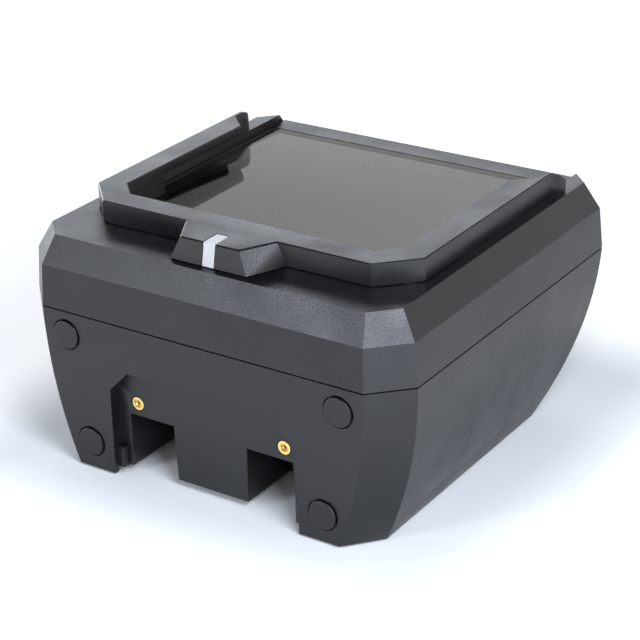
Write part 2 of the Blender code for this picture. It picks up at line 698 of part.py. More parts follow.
def frame_outline(z):
    """The whole frame in plan at a height, lips included."""
    outer, inner = flare_arc(FLARE_RADIUS), flare_arc(FLARE_RADIUS + RAIL_WALL)
    lip_end = STOP_Y + LIP_LENGTH
    lip = [(SLOT_HALF, lip_end + LIP_REACH), (LIP_HALF, lip_end)]
    return mirrored(nose_corners(z) + frame_corner() + outer + inner[::-1] + lip + frame_inside())


def front_outline(z):
    """The nose, front bar and stops in plan at a height."""
    stop_end = [(FRAME_HALF, STOP_Y), (LIP_HALF, STOP_Y)]
    return mirrored(nose_corners(z) + frame_corner() + stop_end + frame_inside())


def build_document_frame():
    low, edge_z, pocket_z = GLASS_Z + GAP, TOP_Z - FRAME_EDGE, TOP_Z - FRAME_WALL
    frame = loft("document_frame", [
        at_height(frame_outline(low), low), at_height(frame_outline(DECK_Z), DECK_Z),
        at_height(frame_outline(edge_z), edge_z), at_height(inset(frame_outline(TOP_Z), FRAME_EDGE), TOP_Z)])
    cut(frame, loft("frame_pocket", [
        at_height(inset(front_outline(z), FRAME_WALL), z) for z in (low - OVERRUN, DECK_Z, pocket_z)]))
    for name, (x, y) in FRAME_SCREWS.items():
        boss = cylinder("frame_boss_" + name, FRAME_BOSS_RADIUS, DECK_Z, TOP_Z - FRAME_WALL / 2)
        fuse(frame, place(boss, x, y, 0))
        bore = cylinder("frame_bore_" + name, FRAME_SCREW_SHANK + GAP, DECK_Z - OVERRUN, pocket_z)
        cut(frame, place(bore, x, y, 0))
    flare_end = max(y for x, y in flare_arc(FLARE_RADIUS + RAIL_WALL)) + OVERRUN
    cut(frame, block("page_slot", (-SLOT_HALF, SLOT_HALF), (STOP_Y, flare_end),
                     (low - OVERRUN, TOP_Z - LIP_THICK)))
    wide = HALF_WIDTH + OVERRUN
    well = rectangle(GAP - SLOT_HALF, SLOT_HALF - GAP, WELL_FRONT_Y + GAP, BACK_Y)
    deck = rectangle(-wide, wide, FRONT_Y, BACK_Y + OVERRUN)
    cut(frame, ring("deck_relief", deck, well, low - OVERRUN, DECK_Z + GAP))
    start, centre_z = STOP_Y + FLARE_START - RAIL_ROUND_LEAD, TOP_Z - RAIL_ROUND
    turn = [math.pi / 2 * step / ROUND_STEPS for step in range(ROUND_STEPS + 1)]
    round_end = [(start + RAIL_ROUND * math.sin(a), centre_z + RAIL_ROUND * math.cos(a)) for a in turn]
    beyond = [(flare_end, centre_z), (flare_end, TOP_Z + OVERRUN), (start, TOP_Z + OVERRUN)]
    cut(frame, side_prism("rail_end_round", round_end + beyond, -wide, wide))
    guide_slot = block("light_guide_slot", centred(0, GUIDE_WIDTH + 2 * GAP),
                       (NOSE_FRONT_Y - OVERRUN, GUIDE_BACK_Y + GAP), (DECK_Z - OVERRUN, TOP_Z + OVERRUN))
    cut(frame, guide_slot)
    finish(frame, "#46494d", 0.35)


# Status light
GUIDE_THICK = 0.0020
STATUS_BOARD_WIDTH = 0.0180
STATUS_BOARD_DEPTH = 0.0080


def build_status_light():
    top_front = NOSE_FRONT_Y + NOSE_FRONT_DRAFT
    stem_front = GUIDE_BACK_Y - STEM_DEPTH
    foot_z, stem_z, under_z = DECK_Z + GAP, STATUS_BOARD_TOP_Z + GAP, TOP_Z - GUIDE_THICK
    profile = [(NOSE_FRONT_Y, foot_z), (top_front, TOP_Z), (GUIDE_BACK_Y, TOP_Z), (GUIDE_BACK_Y, stem_z),
               (stem_front, stem_z), (stem_front, under_z), (top_front + GUIDE_THICK, under_z),
               (NOSE_FRONT_Y + GUIDE_THICK, foot_z)]
    guide = side_prism("status_light_guide", profile, -GUIDE_WIDTH / 2, GUIDE_WIDTH / 2)
    finish(guide, "#e9edf0", 0.35)
    board = block("status_light_board", centred(0, STATUS_BOARD_WIDTH), centred(STEM_Y, STATUS_BOARD_DEPTH),
                  (STATUS_BOARD_TOP_Z - BOARD_THICK, STATUS_BOARD_TOP_Z))
    for name, side in SIDES.items():
        hole = cylinder("status_board_hole_" + name, POST_PIN + GAP,
                        STATUS_BOARD_TOP_Z - BOARD_THICK - OVERRUN, STATUS_BOARD_TOP_Z + OVERRUN)
        cut(board, place(hole, side * POST_X, STEM_Y, 0))
    finish(board, "#1f5a38", 0.5)


# Glass, gasket and antenna
ANTENNA_WIDTH = 0.0036


def build_glass_stack():
    corners = [GLASS_CORNER] * 3
    glass_plan = cut_corner_plan(GLASS_HALF, GLASS_FRONT_Y, GLASS_BACK_Y, *corners)
    glass = prism("scan_glass", glass_plan, GLASS_Z - GLASS_THICK, GLASS_Z)
    finish(glass, "#c9d3d6", 0.05)
    gasket = ring("glass_gasket", window(GLASS_SEAT - GAP), window(GAP), SEAT_Z + GAP,
                  SEAT_Z + GAP + GASKET_THICK)
    finish(gasket, "#141516", 0.85)
    antenna = ring("antenna_board", window(ANTENNA_WIDTH), window(0), ANTENNA_Z, ANTENNA_Z + ANTENNA_THICK)
    finish(antenna, "#1f5a38", 0.5)


# Optics chamber
CHAMBER_WALL = 0.0016
CHAMBER_FLOOR = 0.0020
CHAMBER_RISE = 0.0101
CHAMBER_HALF = 0.0380
CHAMBER_HALF_DEPTH = 0.0200
FLANGE_THICK = 0.0020
FLANGE_EDGE = 0.0030
FLANGE_CUT = 0.0050
LENS_HOLDER = 0.0140
LENS_HOLDER_HEIGHT = 0.0065
LENS_PLAY = 0.0005
CAMERA_BOARD_DROP = 0.0028
CAMERA_BOARD_WIDTH = 0.0300
CAMERA_BOARD_DEPTH = 0.0240
CAMERA_POST_X = 0.0120
CAMERA_POST_Y = 0.0090
CAMERA_THICK = 0.0012

CHAMBER_LOW_Z = COVER_TOP_Z + CHAMBER_RISE
CAMERA_TOP_Z = CHAMBER_LOW_Z - CAMERA_BOARD_DROP
CAMERA_POSTS = [
    (side_x * CAMERA_POST_X, PAGE_CENTRE_Y + side_y * CAMERA_POST_Y)
    for side_x in SIDES.values() for side_y in SIDES.values()
]


def chamber_floor_plan(grow):
    half, half_depth = CHAMBER_HALF + grow, CHAMBER_HALF_DEPTH + grow
    return rectangle(-half, half, PAGE_CENTRE_Y - half_depth, PAGE_CENTRE_Y + half_depth)


def build_optics_chamber():
    chamber = loft("optics_chamber", [
        at_height(chamber_floor_plan(CHAMBER_WALL), CHAMBER_LOW_Z),
        at_height(window(CHAMBER_WALL), CHAMBER_TOP_Z)])
    front = CHAMBER_SCREWS["front_left"][1] - FLANGE_EDGE
    back = CHAMBER_SCREWS["back_left"][1] + FLANGE_EDGE
    flange = cut_corner_plan(SLOT_HALF + WELL_WALL, front, back, FLANGE_CUT, FLANGE_CUT, FLANGE_CUT)
    fuse(chamber, prism("chamber_flange", flange, CHAMBER_TOP_Z - FLANGE_THICK, CHAMBER_TOP_Z))
    floor_z = CHAMBER_LOW_Z + CHAMBER_FLOOR
    cut(chamber, loft("chamber_hollow", [
        at_height(chamber_floor_plan(0), floor_z), at_height(window(0), CHAMBER_TOP_Z + OVERRUN)]))
    hole = LENS_HOLDER + 2 * LENS_PLAY
    cut(chamber, block("lens_hole", centred(0, hole), centred(PAGE_CENTRE_Y, hole),
                       (CHAMBER_LOW_Z - OVERRUN, floor_z + OVERRUN)))
    for name, (x, y) in CHAMBER_SCREWS.items():
        bore = cylinder("flange_hole_" + name, CHAMBER_SCREW_SHANK + GAP,
                        CHAMBER_TOP_Z - FLANGE_THICK - OVERRUN, CHAMBER_TOP_Z + OVERRUN)
        cut(chamber, place(bore, x, y, 0))
    for number, (x, y) in enumerate(CAMERA_POSTS):
        shoulder = CAMERA_TOP_Z + GAP
        post = [(POST_PIN, CAMERA_TOP_Z - 2 * CAMERA_THICK), (POST_PIN, shoulder), (POST_RADIUS, shoulder),
                (POST_RADIUS, CHAMBER_LOW_Z + CHAMBER_FLOOR / 2)]
        fuse(chamber, place(turned("camera_post_" + str(number), post), x, y, 0))
    finish(chamber, "#101112", 0.8)


# Camera
LENS_BORE = 0.0028
LENS_BARREL = 0.0040
LENS_HEAD = 0.0056
LENS_HEAD_RISE = 0.0003
LENS_HEAD_HEIGHT = 0.0066
LENS_MOUTH = 0.0044
LENS_MOUTH_DEPTH = 0.0020
LENS_TAIL = 0.0055
LENS_GLASS_THICK = 0.0012
LENS_CROWN = 0.0012
LENS_STEPS = 5
FLEX_WIDTH = 0.0120
FLEX_THICK = 0.0004
FLEX_PLUG_HEIGHT = 0.0014
FLEX_PLUG_DEPTH = 0.0040
FLEX_LAP = 0.0060


def build_camera():
    board = block("camera_board", centred(0, CAMERA_BOARD_WIDTH), centred(PAGE_CENTRE_Y, CAMERA_BOARD_DEPTH),
                  (CAMERA_TOP_Z - CAMERA_THICK, CAMERA_TOP_Z))
    for number, (x, y) in enumerate(CAMERA_POSTS):
        hole = cylinder("camera_board_hole_" + str(number), POST_PIN + GAP,
                        CAMERA_TOP_Z - CAMERA_THICK - OVERRUN, CAMERA_TOP_Z + OVERRUN)
        cut(board, place(hole, x, y, 0))
    finish(board, "#1f5a38", 0.5)
    holder_low = CAMERA_TOP_Z + GAP
    holder_top = holder_low + LENS_HOLDER_HEIGHT
    holder = block("lens_holder", centred(0, LENS_HOLDER), centred(PAGE_CENTRE_Y, LENS_HOLDER),
                   (holder_low, holder_top))
    bore = cylinder("holder_bore", LENS_BARREL + GAP, holder_low - OVERRUN, holder_top + OVERRUN)
    cut(holder, place(bore, 0, PAGE_CENTRE_Y, 0))
    finish(holder, "#191a1b", 0.6)
    head_low = holder_top + LENS_HEAD_RISE
    head_top = head_low + LENS_HEAD_HEIGHT
    mouth = head_top - LENS_MOUTH_DEPTH
    tail = head_low - LENS_TAIL
    profile = [(LENS_BORE, tail), (LENS_BARREL, tail), (LENS_BARREL, head_low), (LENS_HEAD, head_low),
               (LENS_HEAD, head_top), (LENS_MOUTH, head_top), (LENS_BORE, mouth)]
    barrel = turned("lens_barrel", profile, FINE_ROUND, hollow=True)
    finish(place(barrel, 0, PAGE_CENTRE_Y, 0), "#1c1d1f", 0.35, round_faces=True)
    radius = LENS_BORE - GAP
    low = mouth - LENS_CROWN - LENS_GLASS_THICK
    crown = []
    for step in range(LENS_STEPS):
        angle = math.pi / 2 * step / LENS_STEPS
        crown.append((radius * math.cos(angle), low + LENS_GLASS_THICK + LENS_CROWN * math.sin(angle)))
    lens = turned("front_lens", [(radius, low)] + crown, FINE_ROUND)
    finish(place(lens, 0, PAGE_CENTRE_Y, 0), "#8fa6b5", 0.05, round_faces=True)


def build_camera_flex():
    start = PAGE_CENTRE_Y - CAMERA_BOARD_DEPTH / 2 + FLEX_LAP
    high = CAMERA_TOP_Z - CAMERA_THICK - GAP
    end = BOARD_BACK_Y - FLEX_LAP
    low = BOARD_TOP_Z + GAP
    profile = [(start, high), (start, high - FLEX_THICK), (start - FLEX_LAP, high - FLEX_THICK),
               (BOARD_BACK_Y, low), (end, low), (end - FLEX_PLUG_DEPTH, low),
               (end - FLEX_PLUG_DEPTH, low + FLEX_PLUG_HEIGHT), (end, low + FLEX_PLUG_HEIGHT),
               (end, low + FLEX_THICK), (BOARD_BACK_Y, low + FLEX_THICK), (start - FLEX_LAP, high)]
    flex = side_prism("camera_flex", profile, -FLEX_WIDTH / 2, FLEX_WIDTH / 2)
    finish(flex, "#b5793a", 0.5)


# Page illumination
LED_X = 0.0253
LED_BOARD_WIDTH = 0.0190
LED_BOARD_DEPTH = 0.0330
LED_THICK = 0.0012
DIFFUSER_WALL = 0.0010
DIFFUSER_HEIGHT = 0.0070


def build_illumination():
    low = CHAMBER_LOW_Z + CHAMBER_FLOOR + GAP
    wide, deep = LED_BOARD_WIDTH + 2 * GAP, LED_BOARD_DEPTH + 2 * GAP
    for name, side in SIDES.items():
        x, y = side * LED_X, PAGE_CENTRE_Y
        board = block("led_board_" + name, centred(x, LED_BOARD_WIDTH), centred(y, LED_BOARD_DEPTH),
                      (low, low + LED_THICK))
        finish(board, "#d9dcd8", 0.5)
        diffuser = block("led_diffuser_" + name, centred(x, wide + 2 * DIFFUSER_WALL),
                         centred(y, deep + 2 * DIFFUSER_WALL), (low, low + DIFFUSER_HEIGHT))
        cut(diffuser, block("diffuser_hollow_" + name, centred(x, wide), centred(y, deep),
                            (low - OVERRUN, low + DIFFUSER_HEIGHT - DIFFUSER_WALL)))
        finish(diffuser, "#dfe3e4", 0.6)


# Main board and what it carries
BOARD_HALF = 0.0440
BOARD_DEPTH = 0.0450
BOARD_HOLE_INSET = 0.0042
STANDOFF_RADIUS = 0.0026
BOARD_SCREW_HEAD = 0.0020
BOARD_SCREW_THICK = 0.0014
BOARD_SCREW_SHANK = 0.0009
SHIELD_WIDTH = 0.0240
SHIELD_DEPTH = 0.0210
SHIELD_HEIGHT = 0.0030
SHIELD_WALL = 0.0004
SHIELD_SETBACK = 0.0114
SHIELD_MARGIN = 0.0078
BUZZER_RADIUS = 0.0060
BUZZER_HEIGHT = 0.0050
BUZZER_MARGIN = 0.0198
BUZZER_HOLE = 0.0012
BUZZER_HOLE_DEPTH = 0.0020
USB_DEPTH = 0.0160
USB_WALL = 0.0015
USB_MOUTH_DEPTH = 0.0090
USB_TONGUE_WIDTH = 0.0056
USB_TONGUE_HEIGHT = 0.0032
USB_TONGUE_LENGTH = 0.0080
JACK_DEPTH = 0.0140
JACK_BORE = 0.0032
JACK_BORE_DEPTH = 0.0100
JACK_PIN = 0.0010
JACK_PIN_LENGTH = 0.0085

BOARD_FRONT_Y = CHANNEL_BACK_Y + 2 * GAP
BOARD_BACK_Y = BOARD_FRONT_Y + BOARD_DEPTH
STANDOFFS = {
    "front_left": (BOARD_HOLE_INSET - BOARD_HALF, BOARD_FRONT_Y + BOARD_HOLE_INSET),
    "front_right": (BOARD_HALF - BOARD_HOLE_INSET, BOARD_FRONT_Y + BOARD_HOLE_INSET),
    "back_left": (BOARD_HOLE_INSET - BOARD_HALF, BOARD_BACK_Y - BOARD_HOLE_INSET),
    "back_right": (BOARD_HALF - BOARD_HOLE_INSET, BOARD_BACK_Y - BOARD_HOLE_INSET),
}


def build_main_board():
    board = block("main_board", (-BOARD_HALF, BOARD_HALF), (BOARD_FRONT_Y, BOARD_BACK_Y),
                  (BOARD_Z, BOARD_TOP_Z))
    for name, (x, y) in STANDOFFS.items():
        hole = cylinder("board_hole_" + name, BOARD_SCREW_SHANK + GAP, BOARD_Z - OVERRUN,
                        BOARD_TOP_Z + OVERRUN)
        cut(board, place(hole, x, y, 0))
    finish(board, "#1f5a38", 0.5)
    low = BOARD_TOP_Z + GAP
    x = SHIELD_MARGIN + SHIELD_WIDTH / 2 - BOARD_HALF
    y = BOARD_BACK_Y - SHIELD_SETBACK
    shield = block("processor_shield", centred(x, SHIELD_WIDTH), centred(y, SHIELD_DEPTH),
                   (low, low + SHIELD_HEIGHT))
    cut(shield, block("shield_hollow", centred(x, SHIELD_WIDTH - 2 * SHIELD_WALL),
                      centred(y, SHIELD_DEPTH - 2 * SHIELD_WALL),
                      (low - OVERRUN, low + SHIELD_HEIGHT - SHIELD_WALL)))
    finish(shield, "#b9bcbe", 0.35, 1.0)
    well = low + BUZZER_HEIGHT - BUZZER_HOLE_DEPTH
    profile = [(BUZZER_RADIUS, low), (BUZZER_RADIUS, low + BUZZER_HEIGHT),
               (BUZZER_HOLE, low + BUZZER_HEIGHT), (BUZZER_HOLE, well)]
    buzzer = place(turned("buzzer", profile), BOARD_HALF - BUZZER_MARGIN, y, 0)
    finish(buzzer, "#18191a", 0.6, round_faces=True)


def build_sockets():
    low = BOARD_TOP_Z + GAP
    near = CHANNEL_END_Y
    x, middle = -CHANNEL_X, low + USB_HEIGHT / 2
    usb = block("data_socket", centred(x, USB_WIDTH), (near, near + USB_DEPTH), (low, low + USB_HEIGHT))
    mouth_end = near + USB_MOUTH_DEPTH
    cut(usb, block("data_mouth", centred(x, USB_WIDTH - 2 * USB_WALL), (near - OVERRUN, mouth_end),
                   centred(middle, USB_HEIGHT - 2 * USB_WALL)))
    fuse(usb, block("data_tongue", centred(x, USB_TONGUE_WIDTH),
                    (mouth_end - USB_TONGUE_LENGTH, mouth_end + USB_WALL),
                    centred(middle, USB_TONGUE_HEIGHT)))
    finish(usb, "#c3c6c8", 0.3, 1.0)
    x, middle = CHANNEL_X, low + JACK_HEIGHT / 2
    jack = block("power_socket", centred(x, JACK_WIDTH), (near, near + JACK_DEPTH), (low, low + JACK_HEIGHT))
    cut(jack, place(cylinder("power_bore", JACK_BORE, -OVERRUN, JACK_BORE_DEPTH), x, near, middle, 1))
    pin = cylinder("power_pin", JACK_PIN, JACK_BORE_DEPTH - JACK_PIN_LENGTH, JACK_BORE_DEPTH + USB_WALL)
    fuse(jack, place(pin, x, near, middle, 1))
    finish(jack, "#1b1c1e", 0.5)


# Base cover, feet and screws
FOOT_RADIUS = 0.0055
FOOT_SEAT = 0.0006
FOOT_EDGE = 0.0004
FOOT_FRONT_X = 0.0470
FOOT_FRONT_SETBACK = 0.0120
FOOT_BACK_X = 0.0400
FOOT_BACK_MARGIN = 0.0404
BASE_SCREW_HEAD = 0.0026
BASE_SCREW_THICK = 0.0016
STANDOFF_FLOOR = 0.0008
SCREW_END = 0.0012

FEET = {
    "front_left": (-FOOT_FRONT_X, FRONT_Y + FOOT_FRONT_SETBACK),
    "front_right": (FOOT_FRONT_X, FRONT_Y + FOOT_FRONT_SETBACK),
    "back_left": (-FOOT_BACK_X, BACK_Y - FOOT_BACK_MARGIN),
    "back_right": (FOOT_BACK_X, BACK_Y - FOOT_BACK_MARGIN),
}


def build_base_cover():
    cover = prism("base_cover", inset(tub_plan(COVER_Z, WALL), GAP), COVER_Z, COVER_TOP_Z)
    under, above = COVER_Z - OVERRUN, COVER_TOP_Z + OVERRUN
    room = WALL + GAP
    half = RECESS_HALF + RECESS_DRAFT + room
    cut(cover, block("recess_notch", (-half, half), (FRONT_Y, FRONT_Y + RECESS_DEPTH + room), (under, above)))
    inner, outer = CHANNEL_INNER - CHANNEL_DRAFT - room, CHANNEL_OUTER + CHANNEL_DRAFT + room
    for name, side in SIDES.items():
        cut(cover, block("channel_notch_" + name, (side * inner, side * outer),
                         (FRONT_Y, CHANNEL_BACK_Y + GAP), (under, above)))
    for name, (x, y) in STANDOFFS.items():
        standoff = cylinder("standoff_" + name, STANDOFF_RADIUS, COVER_TOP_Z - BITE, BOARD_Z - GAP)
        fuse(cover, place(standoff, x, y, 0))
        bore = cylinder("standoff_bore_" + name, BOARD_SCREW_SHANK + GAP, COVER_Z + STANDOFF_FLOOR, BOARD_Z)
        cut(cover, place(bore, x, y, 0))
    for name, (x, y) in BOSSES.items():
        hole = cylinder("cover_hole_" + name, BASE_SCREW_SHANK + GAP, under, above)
        cut(cover, place(hole, x, y, 0))
    for name, (x, y) in FEET.items():
        seat = cylinder("foot_seat_" + name, FOOT_RADIUS + GAP, under, COVER_Z + FOOT_SEAT, FINE_ROUND)
        cut(cover, place(seat, x, y, 0))
    finish(cover, "#2c2e30", 0.55)


def build_feet():
    top = COVER_Z + FOOT_SEAT - GAP
    for name, (x, y) in FEET.items():
        profile = [(FOOT_RADIUS - FOOT_EDGE, 0), (FOOT_RADIUS, FOOT_EDGE), (FOOT_RADIUS, top)]
        foot = place(turned("base_foot_" + name, profile, FINE_ROUND), x, y, 0)
        finish(foot, "#232425", 0.85, round_faces=True)


def screw(name, x, y, head_z, head, thick, shank, length, upwards=True):
    """A pan head screw. head_z is the outer face of its head."""
    way = 1 if upwards else -1
    profile = [(head, 0), (head, way * thick), (shank, way * thick), (shank, way * (thick + length))]
    finish(place(turned(name, profile), x, y, head_z), "#8f9294", 0.35, 1.0, round_faces=True)


def build_screws():
    base_length = COVER_THICK + BOSS_HEIGHT - WALL - SCREW_END
    for name, (x, y) in BOSSES.items():
        screw("base_screw_" + name, x, y, COVER_Z - GAP - BASE_SCREW_THICK, BASE_SCREW_HEAD,
              BASE_SCREW_THICK, BASE_SCREW_SHANK, base_length)
    for name, side in SIDES.items():
        screw("housing_screw_" + name, side * TOWER_X, FRONT_Y + TOWER_SETBACK,
              PART_Z - HOUSING_SCREW_STEP - GAP - BASE_SCREW_THICK, HOUSING_SCREW_HEAD, BASE_SCREW_THICK,
              HOUSING_SCREW_SHANK, HOUSING_SCREW_LENGTH)
    for name, (x, y) in FRAME_SCREWS.items():
        length = DECK_THICK + FRAME_HEIGHT - FRAME_WALL - SCREW_END
        screw("frame_screw_" + name, x, y, DECK_UNDER_Z - GAP - BOARD_SCREW_THICK, FRAME_SCREW_HEAD,
              BOARD_SCREW_THICK, FRAME_SCREW_SHANK, length)
    for name, (x, y) in CHAMBER_SCREWS.items():
        length = FLANGE_THICK + CHAMBER_SCREW_LENGTH - SCREW_END
        head_z = CHAMBER_TOP_Z - FLANGE_THICK - GAP - BOARD_SCREW_THICK
        screw("chamber_screw_" + name, x, y, head_z, BOARD_SCREW_HEAD, BOARD_SCREW_THICK,
              CHAMBER_SCREW_SHANK, length)
    for name, (x, y) in STANDOFFS.items():
        length = BOARD_TOP_Z - COVER_Z - STANDOFF_FLOOR
        screw("board_screw_" + name, x, y, BOARD_TOP_Z + GAP + BOARD_SCREW_THICK, BOARD_SCREW_HEAD,
              BOARD_SCREW_THICK, BOARD_SCREW_SHANK, length, upwards=False)


build_lower_housing()
build_pads_and_inserts()
build_upper_housing()
build_document_frame()
build_status_light()
build_glass_stack()
build_optics_chamber()
build_camera()
build_camera_flex()
build_illumination()
build_main_board()
build_sockets()
build_base_cover()
build_feet()
build_screws()
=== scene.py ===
"""The looks of a full-page document reader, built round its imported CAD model."""

import math

import bmesh
import bpy
from mathutils import Matrix, Vector


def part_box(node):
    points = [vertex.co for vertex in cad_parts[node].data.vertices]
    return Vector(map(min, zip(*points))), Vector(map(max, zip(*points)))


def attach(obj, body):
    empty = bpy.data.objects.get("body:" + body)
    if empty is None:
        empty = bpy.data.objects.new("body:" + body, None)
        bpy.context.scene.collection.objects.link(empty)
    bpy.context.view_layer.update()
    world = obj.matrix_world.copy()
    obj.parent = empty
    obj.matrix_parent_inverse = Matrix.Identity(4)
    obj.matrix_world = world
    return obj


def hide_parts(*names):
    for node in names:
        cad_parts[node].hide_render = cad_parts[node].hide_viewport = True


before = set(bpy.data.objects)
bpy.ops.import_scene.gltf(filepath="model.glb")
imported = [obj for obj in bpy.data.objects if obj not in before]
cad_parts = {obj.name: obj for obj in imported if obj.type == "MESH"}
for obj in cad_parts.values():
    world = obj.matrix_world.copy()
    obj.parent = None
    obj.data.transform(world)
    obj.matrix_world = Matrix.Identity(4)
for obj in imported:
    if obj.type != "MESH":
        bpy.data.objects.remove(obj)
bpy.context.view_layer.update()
scene = bpy.context.scene

# Viewpoint
# The photograph's own: over the right front corner, through a long lens, from about 0.7 m away.
# The camera aims at a point held against the housing's front, so it keeps its place on the reader.
LENS = 110.98
SENSOR = 36.0
AIM_FROM_FRONT = (-0.00633, 0.08026, 0.033744)
CAMERA_DISTANCE = 0.70736
CAMERA_AZIMUTH = math.radians(34.785)
CAMERA_ELEVATION = math.radians(25.357)
CAMERA_ROLL = math.radians(-2.046)
FRONT_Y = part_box("lower_housing")[0].y


def look(azimuth, elevation):
    """The direction from the reader to a viewer. Azimuth 0 is in front of the cable side."""
    level = math.cos(elevation)
    return Vector((math.sin(azimuth) * level, -math.cos(azimuth) * level, math.sin(elevation)))


camera = bpy.data.objects.new("camera", bpy.data.cameras.new("camera"))
camera.data.lens = LENS
camera.data.sensor_fit = "HORIZONTAL"
camera.data.sensor_width = SENSOR
scene.collection.objects.link(camera)
aim = Vector(AIM_FROM_FRONT) + Vector((0, FRONT_Y, 0))
towards = look(CAMERA_AZIMUTH, CAMERA_ELEVATION)
turn = towards.to_track_quat("Z", "Y").to_matrix().to_4x4()
roll = Matrix.Rotation(CAMERA_ROLL, 4, "Z")
camera.matrix_world = Matrix.Translation(aim + towards * CAMERA_DISTANCE) @ turn @ roll
scene.camera = camera

# Lower housing
# The tub that stands on the desk: one thin moulding, curved in towards its foot, with the recess and
# the two channels for the leads. Charcoal ABS from a spark-eroded mould, with its edges just broken.
HOUSING_COLOUR = "#0b0d10"
HOUSING_ROUGHNESS = 0.36
HOUSING_EDGE = 0.00020
EDGE_STEPS = 2
SHARP_ANGLE = math.radians(28)
MERGE_DISTANCE = 1e-6
FLAT_ANGLE = math.radians(0.5)
GRAIN = 0.00052
GRAIN_DEPTH = 0.000055
GRAIN_TONE = 0.45
GRAIN_SWAY = 0.09
DRIFT = 0.018
# The sum of two noises lies between these, nearly everywhere.
NOISE_LOW = 0.7
NOISE_HIGH = 1.3


def linear(colour):
    """An sRGB #rrggbb colour as the linear one that a shader takes."""
    parts = (int(colour[i:i + 2], 16) / 255 for i in (1, 3, 5))
    return tuple(c / 12.92 if c <= 0.04045 else ((c + 0.055) / 1.055) ** 2.4 for c in parts) + (1.0,)


def add(tree, kind, inputs=None, **settings):
    """Adds a node. Each of its inputs gets a value, or a link from an output of another node."""
    node = tree.nodes.new(kind)
    for name, value in settings.items():
        setattr(node, name, value)
    for socket, value in (inputs or {}).items():
        if isinstance(value, bpy.types.NodeSocket):
            tree.links.new(value, node.inputs[socket])
        else:
            node.inputs[socket].default_value = value
    return node


def grained(name, colour, roughness, grain, depth, tone=0.10, sway=0.03, **constants):
    """A finish with a fine grain: specks of tone, a gloss that drifts over the piece, and a relief. The
    grain and its depth are in metres. Real grains are finer than a pixel here, so each one is drawn
    coarser than it is. Other named values go to the shader's sockets."""
    material = bpy.data.materials.new(name)
    material.use_nodes = True
    tree = material.node_tree
    shader = tree.nodes["Principled BSDF"]
    for socket, value in constants.items():
        shader.inputs[socket.replace("_", " ")].default_value = value
    place = add(tree, "ShaderNodeTexCoord").outputs["Object"]
    specks = add(tree, "ShaderNodeTexNoise",
                 {"Vector": place, "Scale": 1 / grain, "Detail": 2.0, "Roughness": 0.6}).outputs["Fac"]
    clouds = add(tree, "ShaderNodeTexNoise",
                 {"Vector": place, "Scale": 1 / DRIFT, "Detail": 3.0}).outputs["Fac"]
    total = add(tree, "ShaderNodeMath", {0: specks, 1: clouds}, operation="ADD").outputs[0]
    mixed = {"Value": total, "From Min": NOISE_LOW, "From Max": NOISE_HIGH}
    tones = add(tree, "ShaderNodeMapRange", mixed | {"To Min": 1 - tone, "To Max": 1 + tone})
    shade = add(tree, "ShaderNodeMix", {"Factor": 1.0, "A": linear(colour), "B": tones.outputs[0]},
                data_type="RGBA", blend_type="MULTIPLY")
    tree.links.new(shade.outputs["Result"], shader.inputs["Base Color"])
    gloss = add(tree, "ShaderNodeMapRange",
                mixed | {"To Min": roughness - sway, "To Max": roughness + sway})
    tree.links.new(gloss.outputs[0], shader.inputs["Roughness"])
    if depth:
        bump = add(tree, "ShaderNodeBump", {"Height": specks, "Distance": depth, "Strength": 1.0})
        tree.links.new(bump.outputs[0], shader.inputs["Normal"])
    return material


def faced(node):
    """A copy of a CAD node's mesh with its triangles joined to whole faces."""
    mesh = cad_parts[node].data.copy()
    form = bmesh.new()
    form.from_mesh(mesh)
    bmesh.ops.remove_doubles(form, verts=form.verts, dist=MERGE_DISTANCE)
    bmesh.ops.dissolve_limit(form, angle_limit=FLAT_ANGLE, verts=form.verts, edges=form.edges)
    form.to_mesh(mesh)
    form.free()
    return mesh


def plain(piece, name):
    """Works the piece's modifiers into its mesh, under this name."""
    made = bpy.data.meshes.new_from_object(piece.evaluated_get(bpy.context.evaluated_depsgraph_get()))
    piece.modifiers.clear()
    piece.data = made
    made.name = name


def softened(node, name, material, edge=HOUSING_EDGE, steps=EDGE_STEPS, tool=None,
             operation="UNION"):
    """A CAD node dressed as the real piece: whole faces, broken edges and its own material. A tool is an
    object that is fused with the piece, or cut from it, before its edges are broken."""
    mesh = faced(node)
    piece = bpy.data.objects.new(name, mesh)
    scene.collection.objects.link(piece)
    if tool:
        change = piece.modifiers.new("change", "BOOLEAN")
        change.solver = "EXACT"
        change.operation = operation
        change.object = tool
    rounding = piece.modifiers.new("rounding", "BEVEL")
    rounding.width = edge
    rounding.segments = steps
    rounding.limit_method = "ANGLE"
    rounding.angle_limit = SHARP_ANGLE
    rounding.harden_normals = True
    rounding.use_clamp_overlap = True
    mesh.shade_smooth()
    mesh.set_sharp_from_angle(angle=SHARP_ANGLE)
    plain(piece, name)
    if tool:
        bpy.data.objects.remove(tool)
    piece.data.materials.clear()
    piece.data.materials.append(material)
    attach(piece, "root")
    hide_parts(node)
    return piece


# The grain scatters the light, so the black plastic shows a soft, slightly pebbled grey sheen. A real
# spark-eroded grain is 0.1 to 0.2 mm, less than a pixel here, so it is drawn coarser to show at all.
housing_plastic = grained("spark_eroded_abs_charcoal", HOUSING_COLOUR, HOUSING_ROUGHNESS, GRAIN,
                          GRAIN_DEPTH, tone=GRAIN_TONE, sway=GRAIN_SWAY)
softened("lower_housing", "lower_housing_shell", housing_plastic)

# Threaded inserts
# Two M3 brass nuts, pressed hot into the tub, that take the cable cover's screws. Turned from bar, with
# a knurled rim that grips the plastic and a thread of about 0.5 mm pitch.
SLEEVE_WALL = 0.0010
SLEEVE_EDGE = 0.00018
THREAD_TURNS = 12.0
THREAD_DEPTH = 0.00026
RIM_TEETH = 24
TOOTH = 0.00042
TOOTH_SHARE = 0.96


